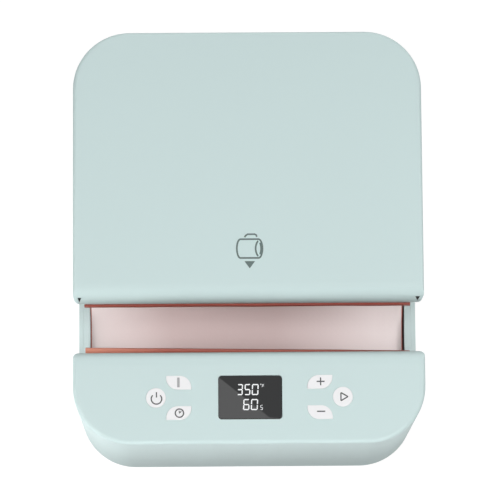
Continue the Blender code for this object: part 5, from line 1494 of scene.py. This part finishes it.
@dataclass
class Fasteners:
    """The pan-head screws, each with a cross in its head."""

    head_radius: float = 0.0027
    head_height: float = 0.0016
    shank_radius: float = 0.0013
    cross: float = 0.0006

    def screw(self, seat: Point, direction: float, reach: float) -> BMesh:
        """Makes a screw.

        Args:
            seat: The middle of the head's underside.
            direction: 1 where the shank points up, and -1 where it points down.
            reach: The length of the shank.

        Returns:
            The mesh.
        """
        head, radius, shank = self.head_height, self.head_radius, self.shank_radius
        profile = [(0, -head), (radius * 0.6, -head), (radius * 0.9, -head * 0.75), (radius, -head * 0.4),
                   (radius, 0), (shank, 0)]
        pitch, threads = 0.0008, int(reach / 0.0008) - 1
        for number in range(threads):
            low = number * pitch
            profile += [(shank * 0.82, low + pitch * 0.35), (shank, low + pitch * 0.7)]
        profile += [(shank * 0.6, reach), (0, reach)]
        bm = lathe(profile, seat, (0, 0, direction), 32)
        x, y, z = seat
        low, high = sorted((z - direction * head * 0.45, z - direction * (head + 0.001)))
        for half in ((radius * 0.62, self.cross / 2), (self.cross / 2, radius * 0.62)):
            recess = block((x - half[0], y - half[1], low), (x + half[0], y + half[1], high))
            bm = boolean(bm, Operation.CUT, recess)
        return bm

    def build(self) -> None:
        """Makes every screw at the place of its solid."""
        for name, body, direction in (("housing_screw", "base", 1), ("deck_screw", "base", -1),
                                      ("board_screw", "base", 1), ("cover_screw", "jaw_unit", 1)):
            for hand in ("left", "right"):
                node = f"{name}_{hand}"
                low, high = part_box(node)
                middle = (low + high) / 2
                height = high.z - low.z - self.head_height
                seat_z = low.z + self.head_height if direction > 0 else high.z - self.head_height
                bm = self.screw((middle.x, middle.y, seat_z), direction, height)
                add_piece(node + "_pan_head", bm, FINISHES.steel, body, (node,))


@dataclass
class Deck:
    """The dark deck that shows when the jaw slides back."""

    slot_x: float = 0.060
    slot_half: float = 0.0035
    slot_ends: FlatPoint = (0.0005, 0.0905)
    hole_x: float = 0.090
    screw_hole: FlatPoint = (-0.006, 0.0030)
    peg_hole: FlatPoint = (0.090, 0.0023)
    corner: float = 0.0291

    def build(self) -> None:
        """Makes the plate with its slots, holes and rounded rear corners."""
        low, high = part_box("deck_plate")
        bm = block(low, high)
        bevel(bm, uprights(bm, high.x, high.y), self.corner, 16)
        bevel(bm, rim_edges(bm, high.z), 0.0003, 2)
        holes = bmesh.new()
        for x in (-self.slot_x, self.slot_x):
            slot = block((x - self.slot_half, self.slot_ends[0], low.z - OVERRUN),
                         (x + self.slot_half, self.slot_ends[1], high.z + OVERRUN))
            bevel(slot, uprights(slot), 0.0015, 4)
            holes = merged(holes, slot)
        for x in (-self.hole_x, self.hole_x):
            for y, radius in (self.screw_hole, self.peg_hole):
                drum((x, y, low.z - OVERRUN), (x, y, high.z + OVERRUN), radius, 32, bm=holes)
        add_piece("deck_plate_panel", boolean(bm, Operation.CUT, holes), FINISHES.dark, "base",
                  ("deck_plate",), even_normals=True)


@dataclass
class InnerWorks:
    """The solids inside the press, which keep their own meshes and get finishes."""

    finishes: dict[str, str] = field(default_factory=lambda: {
        "jaw_cradle_left": "dark", "jaw_cradle_right": "dark", "guide_rod_left": "steel",
        "guide_rod_right": "steel", "gearbox": "steel", "gear_motor": "aluminium", "motor_bracket": "steel",
        "limit_switch_front": "dark", "limit_switch_rear": "dark", "power_board": "board",
        "transformer": "steel", "heater_relay": "relay", "filter_capacitor": "dark", "thermostat": "aluminium",
        "wire_harness": "cable", "heater_lead": "cable", "mains_lead": "cable", "control_board": "board",
        "display_module": "dark", "carriage_plate": "aluminium", "slide_bush_left": "brass",
        "slide_bush_right": "brass", "drive_rack": "steel", "jaw_rib_left": "steel", "jaw_rib_right": "steel",
        "drive_pinion": "brass"})

    def build(self) -> None:
        """Dresses each solid that no finer piece replaces."""
        for node, finish_name in self.finishes.items():
            finish: Finish = getattr(FINISHES, finish_name)
            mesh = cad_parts[node].data
            mesh.materials.clear()
            mesh.materials.append(finish.material())
            LOG.info("%s keeps its solid with the finish %s", node, finish.name)


@dataclass(frozen=True)
class Softbox:
    """A rectangular soft light: its middle, the point it faces, its size, its power and its turn."""

    name: str
    place: Point
    target: Point
    size: FlatPoint
    power: float
    turn: float = 0.0


@dataclass
class Studio:
    """The floor, the lights, the world and the camera."""

    camera_place: Point = (-0.01865, -0.30520, 2.12306)
    lens_mm: float = 257.74
    floor_half: float = 4.0
    ambient: float = 0.07
    floor_tone: float = 0.22
    floor_glow: float = 0.86
    seen_rays: tuple[str, ...] = ("Is Camera Ray", "Is Glossy Ray", "Is Transmission Ray")
    lights: tuple[Softbox, ...] = (
        Softbox("overhead_softbox", (-0.251, -0.297, 1.20), (-0.251, -0.297, 0.0), (0.821, 0.821), 3.0,
                math.radians(-38.75)),
        Softbox("left_softbox", (-0.72, -0.14, 0.95), (0.0, -0.05, 0.10), (0.25, 0.7), 4.5),
        Softbox("right_softbox", (0.72, -0.14, 0.95), (0.0, -0.05, 0.10), (0.25, 0.7), 6.4),
        Softbox("rear_softbox", (0.1, 1.4, 0.35), (0.0, 0.05, 0.10), (1.2, 0.5), 8.2),
        Softbox("front_softbox", (0.0, -1.1, 0.80), (0.0, -0.05, 0.12), (1.0, 0.3), 0.5),
        Softbox("front_strip", (0.0, -0.25, 0.158), (0.0, -0.12, 0.185), (0.4, 0.03), 0.19),
        Softbox("corner_softbox", (-0.28, -0.19, 0.11), (-0.09, -0.095, 0.10), (0.08, 0.10), 0.26))

    def ray_is_seen(self, tree: bpy.types.NodeTree) -> bpy.types.NodeSocket:
        """Gives 1 for the kinds of ray that look at something, and 0 for light that bounces.

        Args:
            tree: The nodes to add to.

        Returns:
            The result's socket.
        """
        path = tree.nodes.new("ShaderNodeLightPath")
        total = path.outputs[self.seen_rays[0]]
        for kind in self.seen_rays[1:]:
            node = tree.nodes.new("ShaderNodeMath")
            node.operation = "MAXIMUM"
            tree.links.new(total, node.inputs[0])
            tree.links.new(path.outputs[kind], node.inputs[1])
            total = node.outputs[0]
        return total

    def build_world(self) -> None:
        """Makes an even soft sky that looks white where it is seen."""
        world = bpy.data.worlds.new("studio")
        world.use_nodes = True
        tree = world.node_tree
        background = tree.nodes["Background"]
        seen = self.ray_is_seen(tree)
        reach = tree.nodes.new("ShaderNodeMapRange")
        tree.links.new(seen, reach.inputs["Value"])
        reach.inputs["To Min"].default_value = self.ambient
        reach.inputs["To Max"].default_value = 1.0
        tree.links.new(reach.outputs["Result"], background.inputs["Strength"])
        background.inputs["Color"].default_value = (1.0, 1.0, 1.0, 1.0)
        bpy.context.scene.world = world

    def build_floor(self) -> None:
        """Makes a white floor that keeps the press's shadow."""
        bm = bmesh.new()
        bmesh.ops.create_grid(bm, x_segments=1, y_segments=1, size=self.floor_half)
        mesh = bpy.data.meshes.new("floor")
        bm.to_mesh(mesh)
        bm.free()
        floor = bpy.data.objects.new("floor", mesh)
        bpy.context.scene.collection.objects.link(floor)
        kit = NodeKit("floor_paper")
        kit.shade(Base_Color=(self.floor_tone, self.floor_tone, self.floor_tone, 1.0), Roughness=0.9)
        tree = kit.tree
        seen = self.ray_is_seen(tree)
        glow = tree.nodes.new("ShaderNodeEmission")
        glow.inputs["Color"].default_value = (1.0, 1.0, 1.0, 1.0)
        reach = tree.nodes.new("ShaderNodeMath")
        reach.operation = "MULTIPLY"
        tree.links.new(seen, reach.inputs[0])
        reach.inputs[1].default_value = self.floor_glow
        tree.links.new(reach.outputs[0], glow.inputs["Strength"])
        add = tree.nodes.new("ShaderNodeAddShader")
        tree.links.new(kit.shader.outputs[0], add.inputs[0])
        tree.links.new(glow.outputs[0], add.inputs[1])
        tree.links.new(add.outputs[0], tree.nodes["Material Output"].inputs["Surface"])
        mesh.materials.append(kit.material)

    def build_lights(self) -> None:
        """Adds the lights, which the camera doesn't see."""
        for box in self.lights:
            lamp = bpy.data.lights.new(box.name, "AREA")
            lamp.shape = "RECTANGLE"
            lamp.size, lamp.size_y = box.size
            lamp.energy = box.power
            obj = bpy.data.objects.new(box.name, lamp)
            away = Vector(box.place) - Vector(box.target)
            facing = away.to_track_quat("Z", "Y").to_matrix().to_4x4()
            obj.matrix_world = Matrix.Translation(box.place) @ facing @ Matrix.Rotation(box.turn, 4, "Z")
            obj.visible_camera = False
            bpy.context.scene.collection.objects.link(obj)

    def build_camera(self) -> None:
        """Adds the camera at the photograph's place."""
        lens = bpy.data.cameras.new("camera")
        lens.lens = self.lens_mm
        lens.sensor_width = 36.0
        lens.clip_start = 0.1
        lens.clip_end = 20.0
        camera = bpy.data.objects.new("camera", lens)
        rows = Matrix(((0.99993236, -0.0076495, 0.00876103), (0.00626191, 0.98886171, 0.14870543),
                       (-0.00980097, -0.14864051, 0.98884273)))
        camera.matrix_world = Matrix.Translation(self.camera_place) @ rows.transposed().to_4x4()
        bpy.context.scene.collection.objects.link(camera)
        bpy.context.scene.camera = camera

    def build(self) -> None:
        """Makes the whole studio."""
        bpy.context.scene.view_settings.view_transform = "Standard"
        self.build_world()
        self.build_floor()
        self.build_lights()
        self.build_camera()


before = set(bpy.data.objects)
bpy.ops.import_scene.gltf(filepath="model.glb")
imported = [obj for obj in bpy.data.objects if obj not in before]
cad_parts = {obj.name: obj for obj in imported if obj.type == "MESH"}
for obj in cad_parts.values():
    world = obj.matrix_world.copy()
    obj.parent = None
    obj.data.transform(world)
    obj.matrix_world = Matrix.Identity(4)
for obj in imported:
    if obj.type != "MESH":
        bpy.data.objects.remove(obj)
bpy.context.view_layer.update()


def main() -> None:
    """Builds and dresses the press, sub-assembly by sub-assembly."""
    logging.basicConfig(level=logging.INFO, format="%(message)s")
    Studio().build()
    panel = ControlPanel()
    half_slot = SIZES.slot_width / 2
    shadow_pads = LipShadowPads()
    CoverShell("rear_cover", "jaw_unit", lip=SIZES.axis_y + half_slot, far=SIZES.half_depth, roll=0.0100,
               extra_cutters=shadow_pads.cutters()).build()
    shadow_pads.build()
    CoverShell("front_housing", "base", lip=SIZES.axis_y - half_slot, far=-SIZES.half_depth, roll=0.0085,
               extra_cutters=panel.cutters()).build()
    panel.build()
    BaseTray().build()
    JawLining("front", "base", foot=222.0, shell_lip=22.0, mat_lip=18.9, edge_left=13.7, edge_right=17.3,
              edge_far=18.5, edge_finish=FINISHES.front_strip, waviness=0.06).build()
    JawLining("rear", "jaw_unit", foot=223.5, shell_lip=338.0, mat_lip=341.1, edge_left=342.9,
              edge_right=342.9, edge_far=341.5, edge_finish=FINISHES.painted_shade_strip, waviness=0.12,
              edge_span=(-0.0921, 0.0908), sealed=True).build()
    MugGuide().build()
    Fasteners().build()
    Deck().build()
    InnerWorks().build()


if __name__ == "__main__":
    main()
